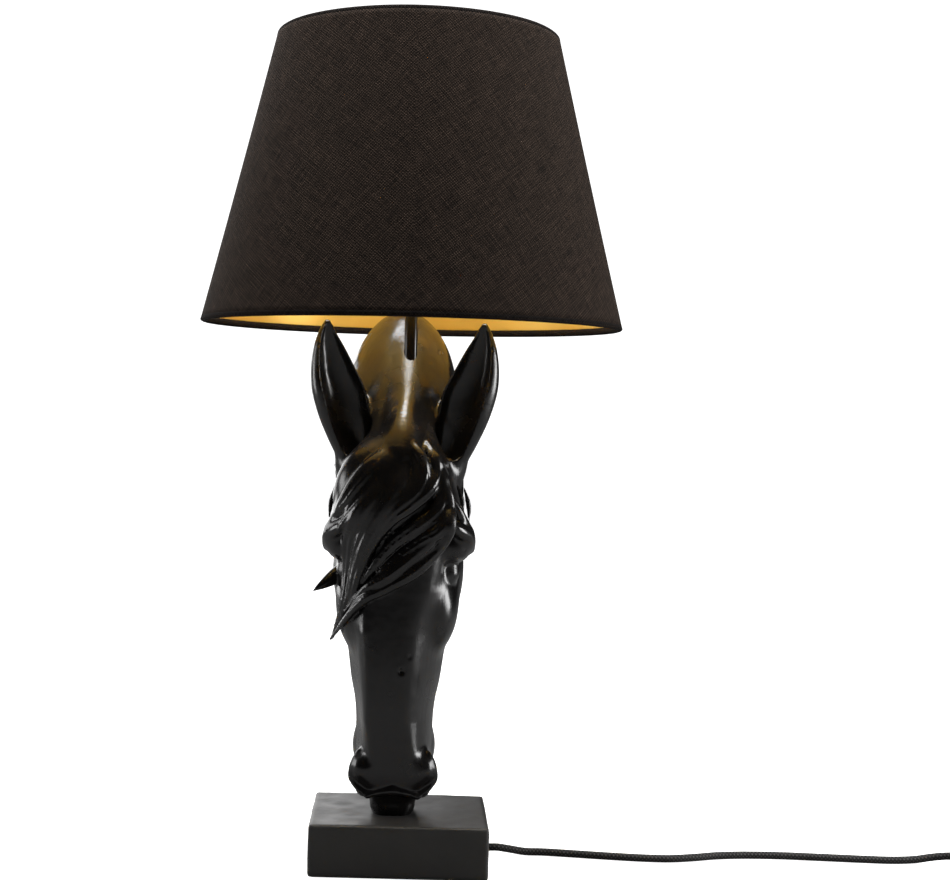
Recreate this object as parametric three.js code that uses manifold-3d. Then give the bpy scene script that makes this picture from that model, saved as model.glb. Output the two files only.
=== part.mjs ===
// Table lamp: a horse's head cast in resin, standing nose-down on a plinth, under a fabric shade.
// Millimetres, +Z up. The origin is on the floor, on the axis of the stem and shade; -Y is the front.
import * as THREE from 'three';
import { mergeVertices } from 'three/addons/utils/BufferGeometryUtils.js';
import { ParametricGeometry } from 'three/addons/geometries/ParametricGeometry.js';
import Module from 'manifold-3d';

const wasm = await Module();
wasm.setup();

// ---------------------------------------------------------------- driving dimensions
const GAP = 0.3;                 // clearance left between pieces that touch
const ROUND = 24;                // facets round a turned piece of 20 mm radius or more
const SMALL_ROUND = 12;          // facets round screws, pins and tubes
const SHADE_ROUND = 40;          // facets round the shade
const NEEDLE = 0.1;              // faces thinner than this are merged into their neighbours

const PLINTH = { width: 150, depth: 114, foot: 0.5, top: 44, edge: 2.2, corner: 3 };
const FELT = { width: 142, depth: 106, thickness: 1.2 };
const COVER = { width: 118, depth: 84, bottom: 1.5, top: 3 };
const POCKET = { width: 100, depth: 66, top: 34 };
const COVER_SCREW = { x: 54.5, y: 37.5, head: 3.2, shank: 1.5, top: 15 };

const ROD = { radius: 4.8, bore: 3.8, bottom: 25, top: 557 };
const ROD_NUT = { radius: 9.8, bottom: 26, top: 31.4 };
const ROD_WASHER = { radius: 15, bottom: 31.7, top: 33.7 };
const FLEX_RADIUS = 2.5;         // the two cores in their sheath, without the braid
const STEM = { radius: 5.7, bore: 5.1, bottom: 405, top: 543 };
const LOCK_NUT = { radius: 8.6, height: 4 };

const HOLDER = { bottom: 547.6, joint: 566, top: 604, radius: 19.5, bore: 17.3, neck: 8 };
const SHADE_RING = { outer: 26.5, inner: 20, height: 5.4 };
const FITTER = { outer: 28.5, inner: 20.6, bottom: 585.7, thickness: 1.6, spokeRoom: 5 };

const SHADE = { bottomRadius: 180, topRadius: 120, bottom: 457, top: 707 };
const WALL = { cover: 0.7, liner: 0.5, linerGap: 0.3 };
const HEM = { height: 6, depth: 5.4, thickness: 0.6 };
const WIRE_RADIUS = 1.4;
const SPOKES = 3;

const BULB = { tip: 580.6, capBottom: 584.4, capTop: 607, capRadius: 13.1, glassRadius: 30, top: 691 };

const HEAD_X = -6;               // the casting sits a little to the left of the stem
const CORD = { radius: 3.25, exitY: 20, exitZ: 8 };
const BUSHING = { start: 53, flange: 76.5, radius: 4.3, flangeRadius: 5.1, bore: 2.9 };
const SWITCH = { x: 488, y: 29, length: 62, width: 27, height: 20, split: 9.5 };
const COIL = { x: 615, y: 72, middle: 36.5, layers: 2, columns: 3 };
const PLUG = {
  x: 577, y: 115, z: 7.3, length: 37, width: 25, height: 14, pinLength: 19, pinRadius: 2, pinPitch: 18.6,
};

// ---------------------------------------------------------------- materials
const finish = (color, roughness, metalness = 0) =>
  new THREE.MeshStandardMaterial({ color, roughness, metalness });
const BLACK_GLOSS = finish('#121110', 0.18);
const BLACK_SATIN = finish('#242322', 0.5);
const BLACK_PLASTIC = finish('#1a1a1a', 0.35);
const BLACK_FABRIC = finish('#2b2725', 0.9);
const GOLD_FOIL = finish('#d3a23a', 0.4, 0.6);
const STEEL = finish('#b5b5b3', 0.35, 1);
const BRASS = finish('#c9a557', 0.3, 1);
const FELT_FINISH = finish('#20201f', 0.95);
const GLASS = finish('#f4f2ea', 0.05);
const PORCELAIN = finish('#e9e6df', 0.3);

// ---------------------------------------------------------------- helpers
function shift(geometry, x, y, z) {
  return geometry.clone().translate(x, y, z);
}

// A closed mesh as a solid that can be cut and joined.
function solid(geometry) {
  const bare = geometry.clone();
  bare.deleteAttribute('normal');
  bare.deleteAttribute('uv');
  const merged = mergeVertices(bare, 1e-3);
  const index = merged.index.array;
  const triangles = [];
  for (let i = 0; i < index.length; i += 3) {
    const [a, b, c] = index.slice(i, i + 3);
    if (a !== b && b !== c && c !== a) triangles.push(a, b, c);
  }
  const vertProperties = Float32Array.from(merged.attributes.position.array);
  return new wasm.Manifold(new wasm.Mesh({
    numProp: 3, vertProperties, triVerts: Uint32Array.from(triangles),
  }));
}

function geometryOf(manifold) {
  const mesh = manifold.getMesh();
  const geometry = new THREE.BufferGeometry();
  geometry.setAttribute('position', new THREE.BufferAttribute(mesh.vertProperties, 3));
  geometry.setIndex(new THREE.BufferAttribute(mesh.triVerts, 1));
  geometry.computeVertexNormals();
  return geometry;
}

function cut(geometry, ...tools) {
  return geometryOf(tools.reduce((rest, tool) => rest.subtract(solid(tool)), solid(geometry)));
}

function join(...geometries) {
  return geometryOf(geometries.map(solid).reduce((all, next) => all.add(next)));
}

// The largest body of a geometry, without the slivers and needle faces that crossing surfaces leave behind.
function mainBody(geometry) {
  const bodies = solid(geometry).simplify(NEEDLE).decompose();
  return geometryOf(bodies.reduce((best, next) => (next.volume() > best.volume() ? next : best)));
}

// A box given by its lowest and highest corners.
function block(low, high) {
  const size = high.map((value, i) => value - low[i]);
  const middle = high.map((value, i) => (value + low[i]) / 2);
  return new THREE.BoxGeometry(...size).translate(...middle);
}

// An upright cylinder from z = low to z = high.
function post(radius, low, high, facets = SMALL_ROUND) {
  const geometry = new THREE.CylinderGeometry(radius, radius, high - low, facets);
  return geometry.rotateX(Math.PI / 2).translate(0, 0, (low + high) / 2);
}

// A turned piece about Z, from a list of [radius, z] that goes up the outside and down the inside.
function turned(profile, facets = ROUND) {
  const points = profile.map(([radius, z]) => new THREE.Vector2(radius, z));
  if (profile[0][0] > 0) points.push(points[0].clone());
  return new THREE.LatheGeometry(points, facets).rotateX(Math.PI / 2);
}

function pipe(outer, inner, low, high, facets = ROUND) {
  return turned([[outer, low], [outer, high], [inner, high], [inner, low]], facets);
}

// A round tube along a smooth curve through points.
function tube(points, radius, steps, facets) {
  const path = new THREE.CatmullRomCurve3(points.map((p) => new THREE.Vector3(...p)), false, 'centripetal');
  const section = new THREE.Shape();
  for (let i = 0; i <= facets; i += 1) {
    const angle = (2 * Math.PI * i) / facets;
    const [x, y] = [radius * Math.cos(angle), radius * Math.sin(angle)];
    if (i === 0) section.moveTo(x, y);
    else if (i < facets) section.lineTo(x, y);
  }
  section.closePath();
  return new THREE.ExtrudeGeometry(section, { steps, extrudePath: path, bevelEnabled: false });
}

// A closed body through stations. A station has a centre, two half-axis vectors and a squareness:
// 2 is an ellipse and more is boxier. Both ends are flat.
function loft(stations, around) {
  const rows = stations.length + 1;
  const [first, second] = stations.map(({ centre }) => new THREE.Vector3(...centre));
  const facing = new THREE.Vector3(...stations[0].side).cross(new THREE.Vector3(...stations[0].front));
  const turn = Math.sign(facing.dot(second.sub(first)));
  return new ParametricGeometry((u, v, target) => {
    const row = Math.round(v * rows);
    const cap = row === 0 || row === rows;
    const { centre, side, front, square = 2 } = stations[THREE.MathUtils.clamp(row - 1, 0, rows - 2)];
    const angle = 2 * Math.PI * turn * (u % 1);
    const power = (value) => Math.sign(value) * Math.abs(value) ** (2 / square);
    target.set(...centre);
    if (cap) return;
    target.addScaledVector(new THREE.Vector3(...side), power(Math.cos(angle)));
    target.addScaledVector(new THREE.Vector3(...front), power(Math.sin(angle)));
  }, around, rows);
}

// Stations set closer together by a smooth curve through the given ones; each is a list of numbers.
function smooth(rows, count) {
  const curves = [];
  for (let i = 0; i < rows[0].length; i += 3) {
    const points = rows.map((row) => new THREE.Vector3(row[i], row[i + 1] ?? 0, row[i + 2] ?? 0));
    curves.push(new THREE.CatmullRomCurve3(points, false, 'catmullrom', 0.5));
  }
  return Array.from({ length: count }, (_, k) =>
    curves.flatMap((curve) => curve.getPoint(k / (count - 1)).toArray()));
}

function mesh(name, geometry, material) {
  const piece = new THREE.Mesh(geometry, material);
  piece.name = name;
  return piece;
}

function group(...pieces) {
  return new THREE.Group().add(...pieces);
}

// ---------------------------------------------------------------- plinth
function roundedRectangle(width, depth, corner) {
  const [x, y] = [width / 2, depth / 2];
  const shape = new THREE.Shape();
  shape.moveTo(-x + corner, -y).lineTo(x - corner, -y);
  shape.quadraticCurveTo(x, -y, x, -y + corner).lineTo(x, y - corner);
  shape.quadraticCurveTo(x, y, x - corner, y).lineTo(-x + corner, y);
  shape.quadraticCurveTo(-x, y, -x, y - corner).lineTo(-x, -y + corner);
  shape.quadraticCurveTo(-x, -y, -x + corner, -y);
  return shape;
}

const COVER_CORNERS = [[1, 1], [-1, 1], [-1, -1], [1, -1]]
  .map(([x, y]) => [x * COVER_SCREW.x, y * COVER_SCREW.y]);
const CLAMP = { x: 43, y: CORD.exitY - 0.6, screw: 8, bottom: 4.1, top: 5.1 };

function coverScrew(extra = 0) {
  const { head, shank, top } = COVER_SCREW;
  return turned([[0, COVER.bottom - extra], [head + extra, COVER.bottom - extra], [head + extra, COVER.bottom + 0.3],
    [shank + extra, COVER.top], [shank + extra, top + extra], [0, top + extra]], SMALL_ROUND);
}

function clampScrew(y, extra = 0) {
  return shift(turned([[0, 3.4 - extra], [2.6 + extra, 3.4 - extra], [2.6 + extra, 3.8], [1.4 + extra, 3.8],
    [1.4 + extra, 18 + extra], [0, 18 + extra]], SMALL_ROUND), CLAMP.x, CLAMP.y + y, 0);
}

function bushing() {
  const { start, flange, radius, flangeRadius, bore } = BUSHING;
  const wall = PLINTH.width / 2;
  return turned([[radius - 0.8, start], [radius, start + 8], [radius, wall + GAP], [flangeRadius, wall + GAP],
    [flangeRadius - 0.7, flange], [bore, flange], [bore, start]], 16)
    .rotateY(Math.PI / 2).translate(0, CORD.exitY, CORD.exitZ);
}

function plinthBlock() {
  const { width, depth, foot, top, edge, corner } = PLINTH;
  const outline = roundedRectangle(width - 2 * edge, depth - 2 * edge, corner);
  const body = new THREE.ExtrudeGeometry(outline, {
    depth: top - foot - 2 * edge, bevelThickness: edge, bevelSize: edge, bevelSegments: 2, curveSegments: 2,
  }).translate(0, 0, foot + edge);
  const recess = (size, low, high) => block([-size.width / 2 - GAP, -size.depth / 2 - GAP, low],
    [size.width / 2 + GAP, size.depth / 2 + GAP, high]);
  const boss = block([CLAMP.x - 5, CLAMP.y - 13, 11], [CLAMP.x + 5, CLAMP.y + 13, POCKET.top + 1]);
  const pocket = cut(recess({ width: POCKET.width, depth: POCKET.depth }, -1, POCKET.top), boss);
  const hole = post(BUSHING.radius + GAP, POCKET.width / 2 - 2, width / 2 + 2, 16)
    .rotateY(Math.PI / 2).translate(0, CORD.exitY, CORD.exitZ);
  return cut(body, recess(FELT, -1, COVER.bottom), recess(COVER, -1, COVER.top + GAP), pocket,
    post(ROD.radius + GAP, POCKET.top - 1, top + 1, 16), hole,
    ...COVER_CORNERS.map(([x, y]) => shift(coverScrew(GAP), x, y, 0)),
    clampScrew(-CLAMP.screw, GAP), clampScrew(CLAMP.screw, GAP));
}

function plinth() {
  const felt = block([-FELT.width / 2, -FELT.depth / 2, 0],
    [FELT.width / 2, FELT.depth / 2, FELT.thickness]);
  const plate = block([-COVER.width / 2, -COVER.depth / 2, COVER.bottom],
    [COVER.width / 2, COVER.depth / 2, COVER.top]);
  const clampBar = block([CLAMP.x - 4, CLAMP.y - 12, CLAMP.bottom], [CLAMP.x + 4, CLAMP.y + 12, CLAMP.top]);
  const bend = [[0, 0, 46], [0, 0, 36], [0, 0, 27], [3, 1, 17], [12, 4.5, 9.6],
    [24, 11, 8], [36, 18, 8], [46, CORD.exitY, 8], [BUSHING.flange, CORD.exitY, 8]];
  const flex = join(post(FLEX_RADIUS, 42, ROD.top + 4), tube(bend, FLEX_RADIUS - 0.1, 20, 8));
  return group(
    mesh('plinth', plinthBlock(), BLACK_SATIN),
    mesh('felt_pad', felt, FELT_FINISH),
    mesh('base_cover',
      cut(plate, ...COVER_CORNERS.map(([x, y]) => shift(coverScrew(GAP), x, y, 0))), STEEL),
    ...COVER_CORNERS.map(([x, y], i) => mesh(`cover_screw_${i + 1}`, shift(coverScrew(), x, y, 0), STEEL)),
    mesh('rod_washer',
      pipe(ROD_WASHER.radius, ROD.radius + GAP, ROD_WASHER.bottom, ROD_WASHER.top, 24), STEEL),
    mesh('rod_nut', hexNut(ROD_NUT.radius, ROD_NUT.bottom, ROD_NUT.top), STEEL),
    mesh('threaded_rod', pipe(ROD.radius, ROD.bore, ROD.bottom, ROD.top, 16), STEEL),
    mesh('inner_flex', flex, BLACK_PLASTIC),
    mesh('cord_bushing', bushing(), BLACK_PLASTIC),
    mesh('cord_clamp', cut(clampBar, clampScrew(-CLAMP.screw, GAP), clampScrew(CLAMP.screw, GAP)), STEEL),
    mesh('clamp_screw_1', clampScrew(-CLAMP.screw), STEEL),
    mesh('clamp_screw_2', clampScrew(CLAMP.screw), STEEL),
  );
}

function hexNut(radius, low, high) {
  return cut(post(radius, low, high, 6), post(ROD.radius + GAP, low - 1, high + 1, 16));
}

// ---------------------------------------------------------------- horse head
// The face, from the lips up to the poll: [z, front y, back y, half width, squareness].
const FACE = [
  [44.3, -27, 18, 20, 2.6],
  [52, -31, 27, 25, 2.4],
  [66, -33, 35, 33, 2.4],
  [76, -33, 38, 36.5, 2.4],
  [92, -35, 37, 33, 2.6],
  [120, -37, 37, 31, 2.8],
  [150, -39, 43, 35.5, 2.8],
  [180, -41, 55, 41, 2.6],
  [205, -43, 64, 50, 2.4],
  [235, -46, 74, 55, 2.3],
  [268, -48, 77, 60, 2.3],
  [300, -48, 74, 56, 2.2],
  [335, -43, 66, 51, 2.2],
  [362, -34, 54, 40, 2.1],
  [378, -20, 42, 26, 2],
];

// The neck, from inside the head over the arch to its cut end:
// [crest y, crest z, throat y, throat z, half width].
const NECK = [
  [-28, 352, 46, 262, 48],
  [-12, 410, 54, 300, 52],
  [14, 451, 60, 320, 50],
  [50, 474, 66, 329, 47],
  [86, 464, 71, 329, 47],
  [116, 432, 74, 321, 48],
  [133, 384, 74, 305, 50],
  [138, 334, 72, 282, 51],
  [136, 290, 69, 254, 51],
];

// One ear, for the right-hand side: [z, x of the middle, half width],
// and the ear leans forward as it rises.
const EAR = [
  [336, 38, 9],
  [352, 43, 14],
  [374, 48, 20.5],
  [400, 55, 21.8],
  [424, 60.5, 16],
  [444, 64, 8],
  [460, 64.7, 0.8],
];

// The forelock's broad sweep: [x, y, z, half width].
const FORELOCK = [
  [10, -30, 368, 12],
  [10, -46, 338, 27],
  [4, -52, 306, 34],
  [-8, -54, 272, 33],
  [-24, -53, 238, 24],
  [-38, -49, 213, 11],
  [-51, -45, 195, 1],
];

function face() {
  const rows = smooth(FACE.map((row) => [...row, 0]), 22);
  return loft(rows.map(([z, front, back, half, square]) => ({
    centre: [HEAD_X, (front + back) / 2, z], side: [half, 0, 0], front: [0, (back - front) / 2, 0], square,
  })), 24);
}

function neck() {
  const ribs = smooth(NECK.map((row) => [...row, 0]), 16);
  return loft(ribs.map(([crestY, crestZ, throatY, throatZ, half]) => ({
    centre: [HEAD_X, (crestY + throatY) / 2, (crestZ + throatZ) / 2],
    side: [-half, 0, 0],
    front: [0, (crestY - throatY) / 2, (crestZ - throatZ) / 2],
    square: 2.1,
  })), 20);
}

// hollow = 1 gives the outer leaf of the ear, and a smaller value gives the cup that is taken out of it.
function ear(mirror, hollow) {
  const rows = smooth(EAR, 10);
  const forward = (1 - hollow) * 26;
  return loft(rows.map(([z, x, half]) => {
    const width = half * hollow;
    const lean = -6 - (z - EAR[0][0]) * 0.17;
    return {
      centre: [HEAD_X + mirror * (x - (1 - hollow) * 6), lean - forward * Math.min(1, half / 14), z],
      side: [mirror * width * 0.96, width * 0.28, 0],
      front: [-mirror * width * 0.16, width * 0.62, 0],
    };
  }), 12);
}

function forelock() {
  const rows = smooth(FORELOCK.map(([x, y, z, half]) => [x, y, z, half, 0, 0]), 12);
  return loft(rows.map(([x, y, z, half]) => ({
    centre: [HEAD_X + x, y, z], side: [half, 0, half * 0.35], front: [0, Math.min(8, half * 0.5 + 1), 0],
  })), 12);
}

function tapered(points, thickness, around = 8) {
  const path = new THREE.CatmullRomCurve3(points.map((p) => new THREE.Vector3(HEAD_X + p[0], p[1], p[2])));
  const stations = 9;
  return loft(Array.from({ length: stations }, (_, k) => {
    const t = k / (stations - 1);
    const along = path.getTangent(t);
    const side = new THREE.Vector3(0, 1, 0).cross(along).normalize();
    const reach = thickness * (0.12 + Math.sin(Math.PI * (0.12 + 0.86 * t)) ** 0.7);
    return {
      centre: path.getPoint(t).toArray(),
      side: side.multiplyScalar(reach).toArray(),
      front: side.clone().cross(along).normalize().multiplyScalar(reach * 0.7).toArray(),
    };
  }), around);
}

const STRANDS = [
  [[12, -38, 362], [19, -52, 334], [8, -57, 312], [-14, -58, 286], [-36, -53, 262]],
  [[24, -42, 336], [34, -53, 312], [22, -58, 286], [-4, -60, 258], [-34, -56, 226]],
  [[32, -50, 318], [39, -53, 290], [18, -57, 258], [-14, -57, 228], [-42, -51, 204]],
];

function bumpAt(x, y, z, size) {
  const ball = new THREE.SphereGeometry(1, 12, 8);
  return ball.scale(...size).translate(HEAD_X + x, y, z);
}

function horseHead() {
  const sides = [-1, 1];
  const cups = sides.map((mirror) => ear(mirror, 0.72));
  const brows = sides.map((mirror) => bumpAt(mirror * 49, -22, 272, [17, 17, 20]));
  const cheeks = sides.map((mirror) => bumpAt(mirror * 30, 40, 236, [27, 42, 46]));
  const nostrilHoles = sides.map((mirror) => bumpAt(mirror * 24, -30, 62, [8, 10, 9]));
  const tuft = tapered([[-50, -16, 254], [-60, -18, 247], [-71, -14, 238]], 5, 6);
  const outside = join(face(), neck(), ...sides.map((mirror) => ear(mirror, 1)), ...brows, ...cheeks,
    forelock(), ...STRANDS.map((points) => tapered(points, 6)), tuft);
  const cavity = turned([[0, 60], [14, 66], [19, 120], [24, 170], [30, 230], [30, 320], [22, 372],
    [0, 388]], 16);
  const hollows = [[[0, 62, 388], [33, 38, 60]], [[0, 104, 372], [33, 24, 66]],
    [[0, 34, 262], [38, 30, 62]]]
    .map(([place, size]) => bumpAt(...place, size));
  return mainBody(cut(outside, ...cups, ...nostrilHoles, cavity, ...hollows,
    block([-200, -200, -10], [200, 200, PLINTH.top + GAP]),
    post(ROD.radius + GAP, 0, 420, 16), post(STEM.radius + GAP, STEM.bottom - GAP, 500, 16)));
}

function head() {
  return group(
    mesh('horse_head', horseHead(), BLACK_GLOSS),
    mesh('stem_tube', pipe(STEM.radius, STEM.bore, STEM.bottom, STEM.top, 16), BLACK_GLOSS),
    mesh('stem_lock_nut', hexNut(LOCK_NUT.radius, STEM.top + GAP, STEM.top + GAP + LOCK_NUT.height), STEEL),
  );
}

// ---------------------------------------------------------------- lampholder and bulb
function holder() {
  const { bottom, joint, top, radius, bore, neck: inlet } = HOLDER;
  const cap = turned([[inlet, bottom], [inlet + 1, bottom + 4], [15, bottom + 6], [radius + 1, bottom + 13],
    [radius + 1, joint - GAP], [bore + 0.6, joint - GAP], [bore + 0.6, bottom + 13.5], [12, bottom + 8.5],
    [ROD.radius + GAP, bottom + 8.5], [ROD.radius + GAP, bottom]]);
  const body = turned([[radius + 1, joint], [radius + 1, joint + 4], [radius, joint + 5], [radius, top - 1],
    [radius - 1, top], [bore, top], [bore, joint]]);
  const core = turned([[bore - GAP, joint + 1], [bore - GAP, joint + 11], [5, joint + 11], [5, joint + 8],
    [FLEX_RADIUS + 2, joint + 1]]);
  const sideContact = join(block([14.6, -3, joint + 11.3], [16.2, 3, joint + 24]),
    block([11.5, -3, joint + 11.3], [16.2, 3, joint + 12.3]));
  const screwHoles = [-1, 1].map((end) => shift(post(1.9 + GAP, joint + 3, joint + 12, 8), 0, end * 12, 0));
  const screws = [-1, 1].map((end) => shift(turned([[0, joint + 4], [1.6, joint + 4], [1.6, joint + 11.3],
    [3, joint + 11.3], [3, joint + 13], [0, joint + 13]], 8), 0, end * 12, 0));
  const contact = join(block([-3, -9, joint + 11.3], [3, 9, joint + 12.3]),
    block([-3, -3, joint + 12.2], [3, 3, BULB.tip - GAP]));
  return group(
    mesh('holder_cap', cap, BLACK_PLASTIC),
    mesh('holder_body', body, BLACK_PLASTIC),
    mesh('holder_core', cut(core, ...screwHoles), PORCELAIN),
    mesh('centre_contact',
      cut(contact, ...[-1, 1].map((end) => shift(post(3 + GAP, joint, joint + 14, 8), 0, end * 12, 0))),
      BRASS),
    mesh('side_contact', sideContact, BRASS),
    mesh('terminal_screw_1', screws[0], BRASS),
    mesh('terminal_screw_2', screws[1], BRASS),
  );
}

function shadeRing(low) {
  const { outer, inner, height } = SHADE_RING;
  return turned([[outer - 1, low], [outer, low + 1], [outer, low + height - 1], [outer - 1, low + height],
    [inner, low + height], [inner, low]]);
}

function bulb() {
  const { tip, capBottom, capTop, capRadius, glassRadius, top } = BULB;
  const centre = top - glassRadius;
  const globe = [];
  for (let degrees = -52; degrees <= 90; degrees += 14.2) {
    const angle = THREE.MathUtils.degToRad(degrees);
    globe.push([glassRadius * Math.cos(angle), centre + glassRadius * Math.sin(angle)]);
  }
  globe[globe.length - 1][0] = 0;
  const neckRadius = capRadius - 1.4;
  const outside = [[neckRadius, capTop - 6], [neckRadius, capTop + 6], ...globe];
  const inside = outside
    .map(([r, z]) => [Math.max(0, r - 0.9), z > centre + glassRadius - 1 ? z - 0.9 : z]);
  inside[0][1] = capTop - 6;
  const profile = [...outside, ...inside.reverse()];
  const glass = new THREE.LatheGeometry(profile.map(([r, z]) => new THREE.Vector2(r, z))
    .concat(new THREE.Vector2(neckRadius, capTop - 6)), 20).rotateX(Math.PI / 2);
  const shell = turned([[capRadius - 4, capBottom], [capRadius, capBottom + 3], [capRadius, capTop],
    [capRadius - 1, capTop], [capRadius - 1, capBottom + 4], [capRadius - 5, capBottom + 1],
    [capRadius - 5, capBottom]], 24);
  const button = turned([[0, tip], [3.4, tip + 0.4], [4.6, capBottom - GAP], [4.6, capBottom + 1],
    [0, capBottom + 1]], SMALL_ROUND);
  const stem = turned([[0, capTop - 4], [7, capTop - 4], [4, capTop + 6], [2, capTop + 20], [2, capTop + 50],
    [0, capTop + 50]], SMALL_ROUND);
  return group(
    mesh('bulb_glass', glass, GLASS),
    mesh('bulb_screw_cap', shell, BRASS),
    mesh('bulb_tip_contact', button, BRASS),
    mesh('bulb_filament_stem', stem, GLASS),
  );
}

// ---------------------------------------------------------------- shade
// A point of the shade's wall, from its distance up the outside and its depth towards the axis.
function wallPoint(up, inward) {
  const { bottomRadius, topRadius, bottom, top } = SHADE;
  const along = new THREE.Vector2(topRadius - bottomRadius, top - bottom).normalize();
  return [bottomRadius + along.x * up - along.y * inward, bottom + along.y * up + along.x * inward];
}

const SLANT = Math.hypot(SHADE.bottomRadius - SHADE.topRadius, SHADE.top - SHADE.bottom);
const RIM_TRIM = 2.2;            // keeps the slanted wall's corners inside the shade's height

function wallSkin(low, high, near, far) {
  const corners = [wallPoint(low, near), wallPoint(high, near), wallPoint(high, far), wallPoint(low, far)];
  return turned(corners, SHADE_ROUND);
}

// The turned-in fabric: a channel round the wire, closed against the liner.
function hem(isTop) {
  const { height, depth, thickness } = HEM;
  const lining = WALL.cover + WALL.linerGap + WALL.liner + GAP;
  const section = [[0, 0], [0, depth], [height, depth], [height, lining], [height - thickness, lining],
    [height - thickness, depth - thickness], [thickness, depth - thickness], [thickness, 0]];
  const place = ([up, inward]) => wallPoint(isTop ? SLANT - RIM_TRIM - up : up + RIM_TRIM / 2, inward);
  const profile = section.map(place);
  return turned(isTop ? profile : profile.reverse(), SHADE_ROUND);
}

function wireRing(isTop) {
  const up = HEM.height / 2;
  const [radius, z] = wallPoint(isTop ? SLANT - RIM_TRIM - up : up + RIM_TRIM / 2, 3.2);
  return new THREE.TorusGeometry(radius, WIRE_RADIUS, 6, SHADE_ROUND).translate(0, 0, z);
}

// A spoke drops from just inside the top hem to the fitter ring.
function spoke(index) {
  const [rim, z] = wallPoint(SLANT - RIM_TRIM - HEM.height / 2, HEM.depth);
  const low = FITTER.bottom + FITTER.thickness + WIRE_RADIUS + GAP;
  const path = [[rim - 2, 0, z], [rim - 9, 0, z - 4], [rim - 20, 0, z - 22], [46, 0, low + 16], [33, 0, low + 1],
    [FITTER.outer - 4.4, 0, low]];
  return tube(path, WIRE_RADIUS, 12, 6).rotateZ((2 * Math.PI * index) / SPOKES + Math.PI / 2);
}

function shade() {
  const rim = HEM.thickness + GAP;
  const linerNear = WALL.cover + WALL.linerGap;
  const cover = wallSkin(RIM_TRIM / 2 + rim, SLANT - RIM_TRIM - rim, 0, WALL.cover);
  const liner = wallSkin(RIM_TRIM / 2 + rim, SLANT - RIM_TRIM - rim, linerNear, linerNear + WALL.liner);
  return group(
    mesh('shade_cover', cover, BLACK_FABRIC),
    mesh('shade_liner', liner, GOLD_FOIL),
    mesh('hem_bottom', hem(false), BLACK_FABRIC),
    mesh('hem_top', hem(true), BLACK_FABRIC),
    mesh('shade_wire_bottom', wireRing(false), STEEL),
    mesh('shade_wire_top', wireRing(true), STEEL),
    mesh('fitter_ring',
      pipe(FITTER.outer, FITTER.inner, FITTER.bottom, FITTER.bottom + FITTER.thickness), STEEL),
    ...Array.from({ length: SPOKES }, (_, i) => mesh(`fitter_spoke_${i + 1}`, spoke(i), STEEL)),
  );
}

// ---------------------------------------------------------------- flex, switch and plug
const LEAD = [[BUSHING.flange + GAP, CORD.exitY, CORD.exitZ], [86, 20, 8.3], [97, 22.6, 6.2],
  [111, 26, 3.4], [126, 26.2, 3.3], [146, 23.8, 3.3], [166, 20.8, 3.3], [190, 17.6, 3.3],
  [214, 15.2, 3.3], [236, 15.4, 3.3], [257, 20.6, 3.3], [279, 28.2, 3.3], [306, 32.6, 3.3],
  [338, 33.4, 3.3], [372, 31.2, 3.3], [406, 28.8, 3.3], [432, 28, 3.3], [452, 28.6, 4.2],
  [468, 29, 6.6], [SWITCH.x - 2 * GAP, 29, 8]];
const LINK = [[SWITCH.x + SWITCH.length + 2 * GAP, 29, 8], [564, 29, 7.4], [577, 29, 4.6],
  [590.5, 29, 3.3]];
const TAIL = [[590.5, PLUG.y, 9.6], [586, PLUG.y, 9], [581, PLUG.y, 7.5], [PLUG.x + 2 * GAP, PLUG.y, PLUG.z]];

function coilRing() {
  const { x, y, middle, layers, columns } = COIL;
  const half = columns * CORD.radius;
  const height = 2 * CORD.radius * layers;
  return pipe(middle + half, middle - half, 0.05, height, 32).translate(x, y, 0);
}

// The tie goes round the coil's section at the far side from the object.
function coilTie() {
  const { x, y, middle, layers, columns } = COIL;
  const half = columns * CORD.radius + 3 * GAP;
  const height = 2 * CORD.radius * layers + GAP;
  const band = 1.2;
  const outside = block([-half - band, -3.5, 0.05], [half + band, 3.5, height + band]);
  const inside = block([-half, -5, -1], [half, 5, height]);
  return cut(outside, inside).translate(x + middle, y, 0);
}

function halfShell(low, high, closedAtTop) {
  const { x, y, length, width } = SWITCH;
  const wall = 2;
  const outer = block([x, y - width / 2, low], [x + length, y + width / 2, high]);
  const inner = block([x + wall, y - width / 2 + wall, closedAtTop ? low - 1 : low + wall],
    [x + length - wall, y + width / 2 - wall, closedAtTop ? high - wall : high + 1]);
  return cut(outer, inner);
}

const ROCKER = { length: 20, width: 11, swing: 1.5 };

function rocker() {
  const { x, y, length, height } = SWITCH;
  const half = ROCKER.length / 2;
  const outline = new THREE.Shape();
  outline.moveTo(-half, height - 1.2).lineTo(-half + 3, height - 5).lineTo(half - 3, height - 5)
    .lineTo(half, height - 1.2).lineTo(half, height + 2.4).quadraticCurveTo(0, height + 0.4, -half, height + 0.2)
    .lineTo(-half, height - 1.2);
  return new THREE.ExtrudeGeometry(outline, { depth: ROCKER.width, bevelEnabled: false, curveSegments: 5 })
    .rotateX(Math.PI / 2).translate(x + length / 2, y + ROCKER.width / 2, 0);
}

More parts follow.
